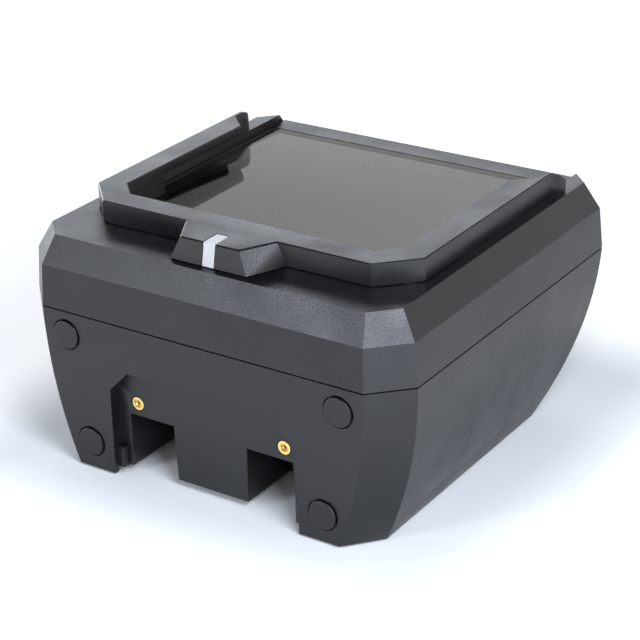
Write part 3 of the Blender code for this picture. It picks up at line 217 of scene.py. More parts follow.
def geometry_tree(name, **sizes):
    """A geometry tree with a named input for each size, and the outputs that give these inputs."""
    tree = bpy.data.node_groups.new(name, "GeometryNodeTree")
    for size, kind in sizes.items():
        tree.interface.new_socket(size.replace("_", " "), in_out="INPUT", socket_type="NodeSocket" + kind)
    tree.interface.new_socket("Geometry", in_out="OUTPUT", socket_type="NodeSocketGeometry")
    return tree, tree.nodes.new("NodeGroupInput").outputs


def end_tree(tree, parts, finish):
    """Joins the parts, makes their instances real and gives them their finish."""
    whole = add(tree, "GeometryNodeJoinGeometry")
    for part in parts:
        tree.links.new(part, whole.inputs[0])
    real = add(tree, "GeometryNodeRealizeInstances", {"Geometry": whole.outputs[0]})
    dressed = add(tree, "GeometryNodeSetMaterial", {"Geometry": real.outputs[0], "Material": finish})
    add(tree, "NodeGroupOutput", {"Geometry": dressed.outputs[0]})


def grown(name, tree, place, **values):
    """Runs a geometry tree with these sizes and puts the plain mesh that it makes in its place."""
    piece = bpy.data.objects.new(name, bpy.data.meshes.new(name))
    scene.collection.objects.link(piece)
    growth = piece.modifiers.new("growth", "NODES")
    growth.node_group = tree
    for item in tree.interface.items_tree:
        if item.in_out == "INPUT":
            growth[item.identifier] = values[item.name.replace(" ", "_")]
    plain(piece, name)
    piece.data.transform(place)
    piece.data.shade_smooth()
    piece.data.set_sharp_from_angle(angle=SHARP_ANGLE)
    return piece


insert_tree, size = geometry_tree("knurled_insert", Radius="Float", Bore="Float", Length="Float",
                                  Turns="Float", Thread="Float", Teeth="Int", Tooth="Float", Edge="Float",
                                  Finish="Material")
wall = add(insert_tree, "ShaderNodeMath", {0: size["Radius"], 1: size["Bore"]},
           operation="SUBTRACT").outputs[0]
both_radii = add(insert_tree, "ShaderNodeMath", {0: size["Radius"], 1: size["Bore"]},
                 operation="ADD").outputs[0]
middle = add(insert_tree, "ShaderNodeMath", {0: both_radii, 1: 0.5}, operation="MULTIPLY").outputs[0]
path = add(insert_tree, "GeometryNodeCurvePrimitiveCircle", {"Resolution": 48, "Radius": middle})
section = add(insert_tree, "GeometryNodeCurvePrimitiveQuadrilateral",
              {"Width": wall, "Height": size["Length"]})
section = add(insert_tree, "GeometryNodeFilletCurve",
              {"Curve": section.outputs[0], "Count": 3, "Radius": size["Edge"]}, mode="POLY")
sleeve = add(insert_tree, "GeometryNodeCurveToMesh",
             {"Curve": path.outputs[0], "Profile Curve": section.outputs[0]})
tooth_ring = add(insert_tree, "ShaderNodeMath", {0: size["Radius"], 1: size["Tooth"]},
                 operation="SUBTRACT").outputs[0]
ring = add(insert_tree, "GeometryNodeMeshCircle", {"Vertices": size["Teeth"], "Radius": tooth_ring})
tooth_length = add(insert_tree, "ShaderNodeMath", {0: size["Length"], 1: TOOTH_SHARE},
                   operation="MULTIPLY").outputs[0]
tooth_size = add(insert_tree, "ShaderNodeCombineXYZ",
                 {0: size["Tooth"], 1: size["Tooth"], 2: tooth_length})
tooth = add(insert_tree, "GeometryNodeMeshCube", {"Size": tooth_size.outputs[0]})
tooth = add(insert_tree, "GeometryNodeTransform",
            {"Geometry": tooth.outputs[0], "Rotation": (0, 0, math.pi / 4)})
outwards = add(insert_tree, "GeometryNodeInputPosition").outputs[0]
facing = add(insert_tree, "FunctionNodeAlignRotationToVector", {"Vector": outwards}, axis="X",
             pivot_axis="Z")
teeth = add(insert_tree, "GeometryNodeInstanceOnPoints",
            {"Points": ring.outputs[0], "Instance": tooth.outputs[0], "Rotation": facing.outputs[0]})
coil = add(insert_tree, "GeometryNodeCurveSpiral",
           {"Resolution": 24, "Rotations": size["Turns"], "Start Radius": size["Bore"],
            "End Radius": size["Bore"], "Height": tooth_length})
ridge = add(insert_tree, "GeometryNodeCurvePrimitiveCircle",
            {"Resolution": 4, "Radius": size["Thread"]})
thread = add(insert_tree, "GeometryNodeCurveToMesh",
             {"Curve": coil.outputs[0], "Profile Curve": ridge.outputs[0], "Fill Caps": True})
half_down = add(insert_tree, "ShaderNodeMath", {0: tooth_length, 1: -0.5},
                operation="MULTIPLY").outputs[0]
shift = add(insert_tree, "ShaderNodeCombineXYZ", {2: half_down})
thread = add(insert_tree, "GeometryNodeTransform",
             {"Geometry": thread.outputs[0], "Translation": shift.outputs[0]})
end_tree(insert_tree, [sleeve.outputs[0], teeth.outputs[0], thread.outputs[0]], size["Finish"])

# Machined brass is a bright, warm metal with a slightly uneven sheen.
brass = grained("turned_brass", "#f0d288", roughness=0.22, grain=0.00030, depth=0.000012, tone=0.12,
                Metallic=1.0)
for side in ("left", "right"):
    low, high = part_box("thread_insert_" + side)
    along_y = Matrix.Translation((low + high) / 2) @ Matrix.Rotation(math.pi / 2, 4, "X")
    radius = (high.x - low.x) / 2
    insert = grown("brass_insert_" + side, insert_tree, along_y, Radius=radius, Bore=radius - SLEEVE_WALL,
                   Length=high.y - low.y, Turns=THREAD_TURNS, Thread=THREAD_DEPTH, Teeth=RIM_TEETH,
                   Tooth=TOOTH, Edge=SLEEVE_EDGE, Finish=brass)
    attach(insert, "root")
    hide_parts("thread_insert_" + side)

# Rubber pads
# Four black rubber discs glued in shallow seats on the cable side, which rest on the desk when the
# reader stands on that side. Their rims are cut at a slant.
PAD_EDGE = 0.00030
PAD_STEPS = 1

# Rubber is matt and near black, with a slight bloom that shows as paler, broader specks.
pad_rubber = grained("moulded_rubber_black", "#08090a", roughness=0.44, grain=0.00045, depth=0.000018,
                     tone=0.18)
for place in ("upper_left", "upper_right", "lower_left", "lower_right"):
    softened("rubber_pad_" + place, "pad_" + place, pad_rubber, PAD_EDGE, PAD_STEPS)

# Main board
# The glass-fibre board that carries the sockets: green solder mask over etched copper tracks, tinned
# vias, a control processor, memory and rows of small capacitors soldered to it.
BOARD_EDGE = 0.00008
MASK_COLOUR = "#0e4a2a"
TRACK_COLOUR = "#1c6a3c"
TRACK_PITCH = 0.0011
TRACK_WIDTH = 0.000176
TRACK_RUN = 0.0099
VIA_PITCH = 0.0042
VIA_RADIUS = 0.00035
VIA_COLOUR = "#c9c6bd"
MASK_ROUGHNESS = 0.32
CHIP_SIZE = (0.0110, 0.0110, 0.0011)
CHIP_PLACE = (0.0004, -0.0265)
CHIP_RISE = 0.0002
CHIP_LEADS = 14
MEMORY_SIZE = (0.0080, 0.0050, 0.0009)
MEMORY_PLACE = (0.0130, -0.0250)
LEAD_PITCH = 0.00076
LEAD_SIZE = (0.00036, 0.0013, 0.0003)
LEAD_REACH = 0.0006
CAPACITOR_SIZE = (0.0010, 0.0018, 0.0008)
CAP_END_SIZE = (0.00104, 0.0004, 0.00084)
CAP_ROW_PLACE = (-0.0240, -0.0232)
CAP_FIELD_PLACE = (0.0330, -0.0240)
REGULATOR_SIZE = (0.0030, 0.0030, 0.0011)
REGULATOR_PLACE = (0.0330, -0.0335)
# A grid: its columns and lines, and its width and depth between the middles of its outer blocks.
MEMORY_LEAD_GRID = (8, 2, 0.0063, 0.0062)
CAP_ROW_GRID = (7, 1, 0.0190, 0.0)
CAP_END_GRID = (7, 2, 0.0190, 0.0016)
CAP_FIELD_GRID = (3, 4, 0.0060, 0.0110)
REGULATOR_GRID = (2, 1, 0.0052, 0.0)


def circuit(name, tracks, mask_colour=MASK_COLOUR, track_colour=TRACK_COLOUR, via_radius=VIA_RADIUS):
    """Solder mask over copper. tracks makes the mask's pattern from the place and returns its output."""
    material = bpy.data.materials.new(name)
    material.use_nodes = True
    tree = material.node_tree
    shader = tree.nodes["Principled BSDF"]
    place = add(tree, "ShaderNodeTexCoord").outputs["Object"]
    mask = add(tree, "ShaderNodeMix", {"Factor": tracks(tree, place), "A": linear(mask_colour),
                                       "B": linear(track_colour)}, data_type="RGBA")
    cells = add(tree, "ShaderNodeTexVoronoi", {"Vector": place, "Scale": 1 / VIA_PITCH},
                voronoi_dimensions="2D")
    via = add(tree, "ShaderNodeMath", {0: cells.outputs["Distance"], 1: via_radius / VIA_PITCH},
              operation="LESS_THAN").outputs[0]
    colour = add(tree, "ShaderNodeMix", {"Factor": via, "A": mask.outputs["Result"],
                                         "B": linear(VIA_COLOUR)}, data_type="RGBA")
    tree.links.new(colour.outputs["Result"], shader.inputs["Base Color"])
    tree.links.new(via, shader.inputs["Metallic"])
    shader.inputs["Roughness"].default_value = MASK_ROUGHNESS
    return material


def routed(tree, place):
    """Tracks that run along the board in short stretches, as a brick bond's joints do."""
    return add(tree, "ShaderNodeTexBrick",
               {"Vector": place, "Scale": 1.0, "Mortar Size": TRACK_WIDTH,
                "Brick Width": TRACK_RUN, "Row Height": TRACK_PITCH}).outputs["Fac"]


block_tree, size = geometry_tree("rows_of_blocks", Columns="Int", Lines="Int", Width="Float",
                                 Depth="Float", Block="Vector", Finish="Material")
grid = add(block_tree, "GeometryNodeMeshGrid",
           {"Size X": size["Width"], "Size Y": size["Depth"],
            "Vertices X": size["Columns"], "Vertices Y": size["Lines"]})
dots = add(block_tree, "GeometryNodeMeshToPoints", {"Mesh": grid.outputs["Mesh"]})
one = add(block_tree, "GeometryNodeMeshCube", {"Size": size["Block"]})
many = add(block_tree, "GeometryNodeInstanceOnPoints",
           {"Points": dots.outputs[0], "Instance": one.outputs[0]})
end_tree(block_tree, [many.outputs[0]], size["Finish"])


def blocks(name, foot, block, finish, columns=1, lines=1, width=0.0, depth=0.0):
    """Blocks of one size in an even grid. Foot is the middle of the grid, at the height they stand on."""
    place = Matrix.Translation(Vector(foot) + Vector((0, 0, block[2] / 2)))
    return grown(name, block_tree, place, Columns=columns, Lines=lines, Width=width, Depth=depth,
                 Block=block, Finish=finish)


def as_one(name, pieces):
    """Joins pieces to one, each with its own finish."""
    form = bmesh.new()
    finishes = []
    for piece in pieces:
        first = len(form.faces)
        form.from_mesh(piece.data)
        form.faces.ensure_lookup_table()
        offset = len(finishes)
        finishes.extend(piece.data.materials)
        for face in form.faces[first:]:
            face.material_index += offset
        bpy.data.objects.remove(piece)
    mesh = bpy.data.meshes.new(name)
    form.to_mesh(mesh)
    form.free()
    for finish in finishes:
        mesh.materials.append(finish)
    whole = bpy.data.objects.new(name, mesh)
    scene.collection.objects.link(whole)
    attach(whole, "root")
    return whole


# Solder mask is a glossy lacquer, so the board is a deep green with paler lines over its copper.
board_green = circuit("solder_mask_green", routed)
softened("main_board", "main_board_panel", board_green, BOARD_EDGE, 1)
board_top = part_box("main_board")[1].z
# Moulded epoxy is a matt, slightly sparkling black, the ceramic capacitors are tan, and tin is a satin
# grey.
epoxy_black = grained("moulded_epoxy_black", "#17181a", roughness=0.50, grain=0.00025, depth=0.000008)
ceramic_tan = grained("fired_ceramic_tan", "#a58a63", roughness=0.45, grain=0.00025, depth=0.000006)
tin = grained("reflowed_tin", "#cfcdc8", roughness=0.28, grain=0.00030, depth=0.000010, tone=0.06,
              Metallic=1.0)
lead_row = (CHIP_LEADS - 1) * LEAD_PITCH
lead_span = 2 * (CHIP_SIZE[0] / 2 + LEAD_REACH)
side_lead = (LEAD_SIZE[1], LEAD_SIZE[0], LEAD_SIZE[2])


def on_board(place, rise=0.0):
    """A place on the board's top, or this much above it."""
    return (*place, board_top + rise)


board_parts = as_one("main_board_parts", [
    blocks("processor", on_board(CHIP_PLACE, CHIP_RISE), CHIP_SIZE, epoxy_black),
    blocks("processor_leads_y", on_board(CHIP_PLACE), LEAD_SIZE, tin, CHIP_LEADS, 2, lead_row, lead_span),
    blocks("processor_leads_x", on_board(CHIP_PLACE), side_lead, tin, 2, CHIP_LEADS, lead_span, lead_row),
    blocks("memory", on_board(MEMORY_PLACE, CHIP_RISE), MEMORY_SIZE, epoxy_black),
    blocks("memory_leads", on_board(MEMORY_PLACE), LEAD_SIZE, tin, *MEMORY_LEAD_GRID),
    blocks("capacitors_back", on_board(CAP_ROW_PLACE), CAPACITOR_SIZE, ceramic_tan, *CAP_ROW_GRID),
    blocks("capacitor_ends_back", on_board(CAP_ROW_PLACE), CAP_END_SIZE, tin, *CAP_END_GRID),
    blocks("capacitors_side", on_board(CAP_FIELD_PLACE), CAPACITOR_SIZE, ceramic_tan, *CAP_FIELD_GRID),
    blocks("regulators", on_board(REGULATOR_PLACE), REGULATOR_SIZE, epoxy_black, *REGULATOR_GRID),
])

# Processor shield
# A drawn can of tinned steel, open below, that stands over the picture processor and keeps its radio
# noise in. Tinned steel is a bright grey metal with a faint crystal pattern.
SHIELD_EDGE = 0.00015
tinned_steel = grained("tinned_steel", "#c6c8c9", roughness=0.26, grain=0.00120, depth=0.000010,
                       tone=0.06, Metallic=1.0)
softened("processor_shield", "processor_shield_can", tinned_steel, SHIELD_EDGE)

# Buzzer
# A magnetic sounder in a round black case with its sound hole on top, soldered to the board.
BUZZER_EDGE = 0.00025
BUZZER_STEPS = 3
softened("buzzer", "buzzer_case", epoxy_black, BUZZER_EDGE, BUZZER_STEPS)

# Data socket
# A square USB socket: a tinned shell folded round a white nylon tongue with four gold contacts.
SOCKET_EDGE = 0.00012
MOUTH_RIM = 0.0005
TONGUE_HALF = (0.0030, 0.0018)
TONGUE_END = 0.0088
CONTACT_SIZE = (0.0009, 0.0062, 0.00016)
CONTACT_SETBACK = 0.0052
CONTACT_RISE = 0.0016
CONTACT_GRID = (2, 1, 0.0025, 0.0)


def finished_inside(piece, box, half, end, finish):
    """Gives what stands in a socket's mouth a finish of its own: the faces in a box round its middle, from
    just behind its rim to this end. half is the box's half width and half height."""
    low, high = box
    centre = (low + high) / 2
    near = (centre.x - half[0], low.y + MOUTH_RIM, centre.z - half[1])
    far = (centre.x + half[0], low.y + end, centre.z + half[1])
    piece.data.materials.append(finish)
    last = len(piece.data.materials) - 1
    for face in piece.data.polygons:
        if all(near[i] <= face.center[i] <= far[i] for i in range(3)):
            face.material_index = last


# Nylon is a soft, slightly uneven white. Gold flash keeps its colour and a low sheen.
nylon_white = grained("moulded_nylon_white", "#d9d8d2", roughness=0.48, grain=0.00040, depth=0.000008,
                      tone=0.04)
gold_flash = grained("gold_flashed_contact", "#e2b04a", roughness=0.22, grain=0.00030, depth=0.000004,
                     tone=0.05, Metallic=1.0)
data_shell = softened("data_socket", "data_socket_shell", tinned_steel, SOCKET_EDGE)
low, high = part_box("data_socket")
finished_inside(data_shell, (low, high), TONGUE_HALF, TONGUE_END, nylon_white)
centre = (low + high) / 2
contact_y = low.y + CONTACT_SETBACK
top_z, under_z = centre.z + CONTACT_RISE, centre.z - CONTACT_RISE - CONTACT_SIZE[2]
contacts = as_one("data_contacts", [
    blocks("contacts_top", (centre.x, contact_y, top_z), CONTACT_SIZE, gold_flash, *CONTACT_GRID),
    blocks("contacts_under", (centre.x, contact_y, under_z), CONTACT_SIZE, gold_flash, *CONTACT_GRID),
])

# Power socket
# A barrel jack in black nylon with a plated centre pin, soldered beside the data socket.
# Filled nylon is black with a soft gloss; the pin is bright nickel.
PIN_HALF = (0.0012, 0.0012)
PIN_END = 0.0098
nylon_black = grained("moulded_nylon_black", "#1a1b1d", roughness=0.40, grain=0.00040, depth=0.000010)
nickel = grained("nickel_plate", "#c9c4ba", roughness=0.18, grain=0.00060, depth=0.000004, tone=0.04,
                 Metallic=1.0)
jack = softened("power_socket", "power_socket_body", nylon_black, SOCKET_EDGE)
finished_inside(jack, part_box("power_socket"), PIN_HALF, PIN_END, nickel)

# Base cover and feet
# The plate that closes the tub from below, with the board's standoffs on it and seats for four rubber
# feet. It is the housing's plastic; the feet are glued on and carry the reader.
softened("base_cover", "base_cover_plate", housing_plastic)
for place in ("front_left", "front_right", "back_left", "back_right"):
    softened("base_foot_" + place, "foot_" + place, pad_rubber, PAD_EDGE, PAD_STEPS)

# Screws
# Eighteen pan head screws with a cross recess, rolled from steel wire and zinc plated: four hold the
# base cover, four the main board, four the optics chamber, four the document frame and two the housing.
HEAD_DOME = 0.00045
DOME_POWER = 3.0
RECESS_WIDTH = 0.24
RECESS_LENGTH = 1.25
RECESS_DEPTH = 0.62
THREAD_SHARE = 0.16
THREAD_RUN = 0.94
THREAD_START = 0.03
# The head's height, the shank's radius and the thread's pitch of each kind of screw.
SCREWS = {
    "base": (0.0016, 0.0012, 0.0010),
    "board": (0.0014, 0.0009, 0.0007),
    "chamber": (0.0014, 0.0010, 0.0008),
    "frame": (0.0014, 0.0009, 0.0007),
    "housing": (0.0016, 0.0014, 0.0012),
}

screw_tree, size = geometry_tree("pan_head_screw", Head_Radius="Float", Head_Height="Float",
                                 Dome="Float", Shank_Radius="Float", Length="Float", Pitch="Float",
                                 Finish="Material")
half_head = add(screw_tree, "ShaderNodeMath", {0: size["Head Height"], 1: 0.5},
                operation="MULTIPLY").outputs[0]
head = add(screw_tree, "GeometryNodeMeshCylinder",
           {"Vertices": 32, "Fill Segments": 6, "Radius": size["Head Radius"],
            "Depth": size["Head Height"]})
up = add(screw_tree, "ShaderNodeCombineXYZ", {2: half_head})
head = add(screw_tree, "GeometryNodeTransform",
           {"Geometry": head.outputs[0], "Translation": up.outputs[0]})
spot = add(screw_tree, "ShaderNodeSeparateXYZ",
           {0: add(screw_tree, "GeometryNodeInputPosition").outputs[0]})
across = add(screw_tree, "ShaderNodeCombineXYZ", {0: spot.outputs[0], 1: spot.outputs[1]})
from_axis = add(screw_tree, "ShaderNodeVectorMath", {0: across.outputs[0]}, operation="LENGTH")
share = add(screw_tree, "ShaderNodeMath", {0: from_axis.outputs["Value"], 1: size["Head Radius"]},
            operation="DIVIDE").outputs[0]
dome = add(screw_tree, "ShaderNodeMath", {0: share, 1: DOME_POWER}, operation="POWER").outputs[0]
dome = add(screw_tree, "ShaderNodeMath", {0: dome, 1: size["Dome"]}, operation="MULTIPLY").outputs[0]
outer_face = add(screw_tree, "ShaderNodeMath", {0: spot.outputs[2], 1: half_head},
                 operation="LESS_THAN").outputs[0]
dome = add(screw_tree, "ShaderNodeMath", {0: dome, 1: outer_face}, operation="MULTIPLY").outputs[0]
rounding = add(screw_tree, "ShaderNodeCombineXYZ", {2: dome})
head = add(screw_tree, "GeometryNodeSetPosition",
           {"Geometry": head.outputs[0], "Offset": rounding.outputs[0]})
slot_length = add(screw_tree, "ShaderNodeMath", {0: size["Head Radius"], 1: RECESS_LENGTH},
                  operation="MULTIPLY").outputs[0]
slot_width = add(screw_tree, "ShaderNodeMath", {0: size["Head Radius"], 1: RECESS_WIDTH},
                 operation="MULTIPLY").outputs[0]
slot_depth = add(screw_tree, "ShaderNodeMath", {0: size["Head Height"], 1: 2 * RECESS_DEPTH},
                 operation="MULTIPLY").outputs[0]
slot_one = add(screw_tree, "ShaderNodeCombineXYZ", {0: slot_length, 1: slot_width, 2: slot_depth})
slot_two = add(screw_tree, "ShaderNodeCombineXYZ", {0: slot_width, 1: slot_length, 2: slot_depth})
recess = add(screw_tree, "GeometryNodeMeshBoolean", {"Mesh 1": head.outputs[0]}, operation="DIFFERENCE")
for slot in (slot_one, slot_two):
    bar = add(screw_tree, "GeometryNodeMeshCube", {"Size": slot.outputs[0]})
    screw_tree.links.new(bar.outputs["Mesh"], recess.inputs["Mesh 2"])
ridge_size = add(screw_tree, "ShaderNodeMath", {0: size["Shank Radius"], 1: THREAD_SHARE},
                 operation="MULTIPLY").outputs[0]
core = add(screw_tree, "ShaderNodeMath", {0: size["Shank Radius"], 1: ridge_size},
           operation="SUBTRACT").outputs[0]
shank = add(screw_tree, "GeometryNodeMeshCylinder",
            {"Vertices": 24, "Radius": core, "Depth": size["Length"]})
half_length = add(screw_tree, "ShaderNodeMath", {0: size["Length"], 1: 0.5},
                  operation="MULTIPLY").outputs[0]
shank_middle = add(screw_tree, "ShaderNodeMath", {0: size["Head Height"], 1: half_length},
                   operation="ADD").outputs[0]
up = add(screw_tree, "ShaderNodeCombineXYZ", {2: shank_middle})
shank = add(screw_tree, "GeometryNodeTransform",
            {"Geometry": shank.outputs[0], "Translation": up.outputs[0]})
run = add(screw_tree, "ShaderNodeMath", {0: size["Length"], 1: THREAD_RUN},
          operation="MULTIPLY").outputs[0]
turns = add(screw_tree, "ShaderNodeMath", {0: run, 1: size["Pitch"]}, operation="DIVIDE").outputs[0]
coil = add(screw_tree, "GeometryNodeCurveSpiral",
           {"Resolution": 20, "Rotations": turns, "Start Radius": core, "End Radius": core,
            "Height": run})
ridge = add(screw_tree, "GeometryNodeCurvePrimitiveCircle", {"Resolution": 4, "Radius": ridge_size})
thread = add(screw_tree, "GeometryNodeCurveToMesh",
             {"Curve": coil.outputs[0], "Profile Curve": ridge.outputs[0], "Fill Caps": True})
first_turn = add(screw_tree, "ShaderNodeMath", {0: size["Length"], 1: THREAD_START},
                 operation="MULTIPLY").outputs[0]
first_turn = add(screw_tree, "ShaderNodeMath", {0: size["Head Height"], 1: first_turn},
                 operation="ADD").outputs[0]
up = add(screw_tree, "ShaderNodeCombineXYZ", {2: first_turn})
thread = add(screw_tree, "GeometryNodeTransform",
             {"Geometry": thread.outputs[0], "Translation": up.outputs[0]})
end_tree(screw_tree, [recess.outputs[0], shank.outputs[0], thread.outputs[0]], size["Finish"])

# Zinc plate over steel is a bright metal, cool grey, with a slight blue and a fine matt texture.
zinc = grained("zinc_plated_steel", "#b4b8bc", roughness=0.30, grain=0.00040, depth=0.000010, tone=0.08,
               Metallic=1.0)


def screw(kind, place, upwards=True):
    """A screw in a CAD screw's place. Its head is at the bottom where it goes upwards."""
    node = f"{kind}_screw_{place}"
    head_height, shank_radius, pitch = SCREWS[kind]
    low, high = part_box(node)
    centre = (low + high) / 2
    stand = Matrix.Translation((centre.x, centre.y, low.z if upwards else high.z))
    if not upwards:
        stand = stand @ Matrix.Rotation(math.pi, 4, "X")
    made = grown("steel_" + node, screw_tree, stand, Head_Radius=(high.x - low.x) / 2,
                 Head_Height=head_height, Dome=HEAD_DOME, Shank_Radius=shank_radius,
                 Length=high.z - low.z - head_height, Pitch=pitch, Finish=zinc)
    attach(made, "root")
    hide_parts(node)


for place in ("front_left", "front_right", "back_left", "back_right"):
    screw("base", place)
    screw("board", place, upwards=False)
    screw("chamber", place)
for place in ("bar_left", "bar_right", "nose_left", "nose_right"):
    screw("frame", place)
for side in ("left", "right"):
    screw("housing", side)

# Camera
# A board, a black lens holder on it, and a screwed-in lens that looks straight up at the page. A flat
# ribbon takes the picture to the main board.
LENS_EDGE = 0.0002
LENS_ARRIS = 0.0001
RIBBON_TRACK = 0.0008
RIBBON_FILM = "#9a5a20"
RIBBON_COPPER = "#c98a45"
RIBBON_ROUGHNESS = 0.25
FILM_SHARE = 0.55
# The period of Blender's wave texture at a scale of 1.
WAVE_PERIOD = 0.314
softened("camera_board", "camera_board_panel", board_green, BOARD_EDGE, 1)
softened("lens_holder", "lens_holder_block", nylon_black, LENS_EDGE)
# Anodised aluminium is a deep satin black that only its edges lighten.
anodised_black = grained("anodised_aluminium_black", "#1b1c1f", roughness=0.30, grain=0.00030,
                         depth=0.000006, Metallic=0.7)
softened("lens_barrel", "lens_barrel_tube", anodised_black, LENS_EDGE)
# The coating turns the lens's reflections faintly violet.
coated_glass = grained("coated_lens_glass", "#cdd6f2", roughness=0.0, grain=0.00100, depth=0.0,
                       tone=0.02, sway=0.0, Transmission_Weight=1.0, IOR=1.62,
                       Thin_Film_Thickness=420.0, Thin_Film_IOR=1.38)
softened("front_lens", "front_lens_element", coated_glass, LENS_ARRIS)


def ribbon_tracks(name):
    """Amber film over copper tracks that run along the ribbon, one to each period of a wave."""
    material = bpy.data.materials.new(name)
    material.use_nodes = True
    tree = material.node_tree
    place = add(tree, "ShaderNodeTexCoord").outputs["Object"]
    stripes = add(tree, "ShaderNodeTexWave", {"Vector": place, "Scale": WAVE_PERIOD / RIBBON_TRACK},
                  bands_direction="X")
    line = add(tree, "ShaderNodeMath", {0: stripes.outputs["Fac"], 1: FILM_SHARE},
               operation="GREATER_THAN").outputs[0]
    colour = add(tree, "ShaderNodeMix",
                 {"Factor": line, "A": linear(RIBBON_FILM), "B": linear(RIBBON_COPPER)}, data_type="RGBA")
    shader = tree.nodes["Principled BSDF"]
    tree.links.new(colour.outputs["Result"], shader.inputs["Base Color"])
    shader.inputs["Roughness"].default_value = RIBBON_ROUGHNESS
    return material


ribbon_amber = ribbon_tracks("polyimide_ribbon_amber")
softened("camera_flex", "camera_ribbon", ribbon_amber, BOARD_EDGE, 1)

# Page lighting
# Two white boards of light-emitting diodes on the chamber's floor, each under an opal cover that
# spreads their light over the page.
LED_SIZE = (0.0028, 0.0035, 0.0008)
LED_FACE = (0.0020, 0.0026, 0.0001)
LED_GRID = (3, 5, 0.0120, 0.0240)
COVER_EDGE = 0.0003
# White mask hides the copper, the diode's phosphor is a flat yellow, and the opal cover is milky.
mask_white = grained("solder_mask_white", "#d4d6d2", roughness=0.35, grain=0.00100, depth=0.000006,
                     tone=0.03)
phosphor = grained("phosphor_yellow", "#d9c23a", roughness=0.60, grain=0.00020, depth=0.000006)
opal_cover = grained("moulded_polycarbonate_opal", "#d3d7d9", roughness=0.45, grain=0.00060,
                     depth=0.000006, tone=0.03, Subsurface_Weight=0.4, Subsurface_Scale=0.002)
for side in ("left", "right"):
    softened("led_board_" + side, "light_board_" + side, mask_white, BOARD_EDGE, 1)
    low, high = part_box("led_board_" + side)
    middle_x, middle_y, top = (low.x + high.x) / 2, (low.y + high.y) / 2, high.z
    diodes = as_one("light_diodes_" + side, [
        blocks("diodes", (middle_x, middle_y, top), LED_SIZE, nylon_white, *LED_GRID),
        blocks("diode_faces", (middle_x, middle_y, top + LED_SIZE[2]), LED_FACE, phosphor, *LED_GRID),
    ])
    softened("led_diffuser_" + side, "opal_cover_" + side, opal_cover, COVER_EDGE)

# Optics chamber
# A black hopper that keeps stray light off the page, open to the glass above, with the camera below it.
# Its ABS is etched matt inside so that it gives back almost nothing.
etched_black = grained("etched_abs_black", "#08090a", roughness=0.70, grain=0.00060, depth=0.000030)
softened("optics_chamber", "optics_chamber_hopper", etched_black)

# Antenna board
# A window-shaped board under the glass's ledge that carries the loops of the chip-reading antenna.
LOOP_PITCH = 0.0009
LOOP_SHARE = 0.5
low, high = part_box("antenna_board")
window_y = ((low + high) / 2).y
board_half = (high.x, (high.y - low.y) / 2)


def loops(tree, place):
    """Tracks that run round the window, at an even pitch from the board's edge."""
    move = add(tree, "ShaderNodeMapping", {"Vector": place, "Location": (0, -window_y, 0)})
    split = add(tree, "ShaderNodeSeparateXYZ", {0: move.outputs[0]})
    sides = []
    for axis, half in enumerate(board_half):
        far = add(tree, "ShaderNodeMath", {0: split.outputs[axis]}, operation="ABSOLUTE")
        inset = add(tree, "ShaderNodeMath", {0: half, 1: far.outputs[0]},
                    operation="SUBTRACT").outputs[0]
        sides.append(inset)
    edge = add(tree, "ShaderNodeMath", {0: sides[0], 1: sides[1]}, operation="MINIMUM").outputs[0]
    lap = add(tree, "ShaderNodeMath", {0: edge, 1: LOOP_PITCH}, operation="MODULO").outputs[0]
    return add(tree, "ShaderNodeMath", {0: lap, 1: LOOP_PITCH * LOOP_SHARE},
               operation="LESS_THAN").outputs[0]


# Its mask is black and covers its vias too, so that the camera never sees it through the glass.
mask_black = circuit("antenna_mask_black", loops, "#0b0c0d", "#17181a", via_radius=0.0)
softened("antenna_board", "antenna_board_loop", mask_black, BOARD_EDGE, 1)

# Upper housing
# The cap: deck, sloping band and skirt in one moulding of the same charcoal ABS, hooked to the tub at its
# back and screwed to it through two towers at the front. Its well's front corners are closed up to the
# document frame's cut corners, so that nothing stands open beside them.
# A corner's slanted side is on the line where |x| - y is CORNER_LINE, and its outer sides are at
# CORNER_OUT_X and CORNER_OUT_Y.
CORNER_LINE = 0.1053
CORNER_OUT_X = 0.0646
CORNER_OUT_Y = -0.0450


def corner_wedges(name, line, low_z, high_z):
    """The two front corners of the glass well, each one outside its slanted line, between two heights."""
    mesh = bpy.data.meshes.new(name)
    form = bmesh.new()
    for side in (-1, 1):
        plan = [(CORNER_OUT_X, CORNER_OUT_X - line), (line + CORNER_OUT_Y, CORNER_OUT_Y),
                (CORNER_OUT_X, CORNER_OUT_Y)]
        rings = [[form.verts.new((side * x, y, z)) for x, y in plan] for z in (low_z, high_z)]
        form.faces.new(rings[0])
        form.faces.new(rings[1])
        for i in range(3):
            form.faces.new((rings[0][i - 1], rings[0][i], rings[1][i], rings[1][i - 1]))
    bmesh.ops.recalc_face_normals(form, faces=form.faces)
    form.to_mesh(mesh)
    form.free()
    wedges = bpy.data.objects.new(name, mesh)
    scene.collection.objects.link(wedges)
    return wedges


glass_low, glass_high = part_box("scan_glass")
deck_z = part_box("upper_housing")[1].z
wedges = corner_wedges("well_corners", CORNER_LINE, glass_low.z, deck_z)
softened("upper_housing", "upper_housing_shell", housing_plastic, tool=wedges)

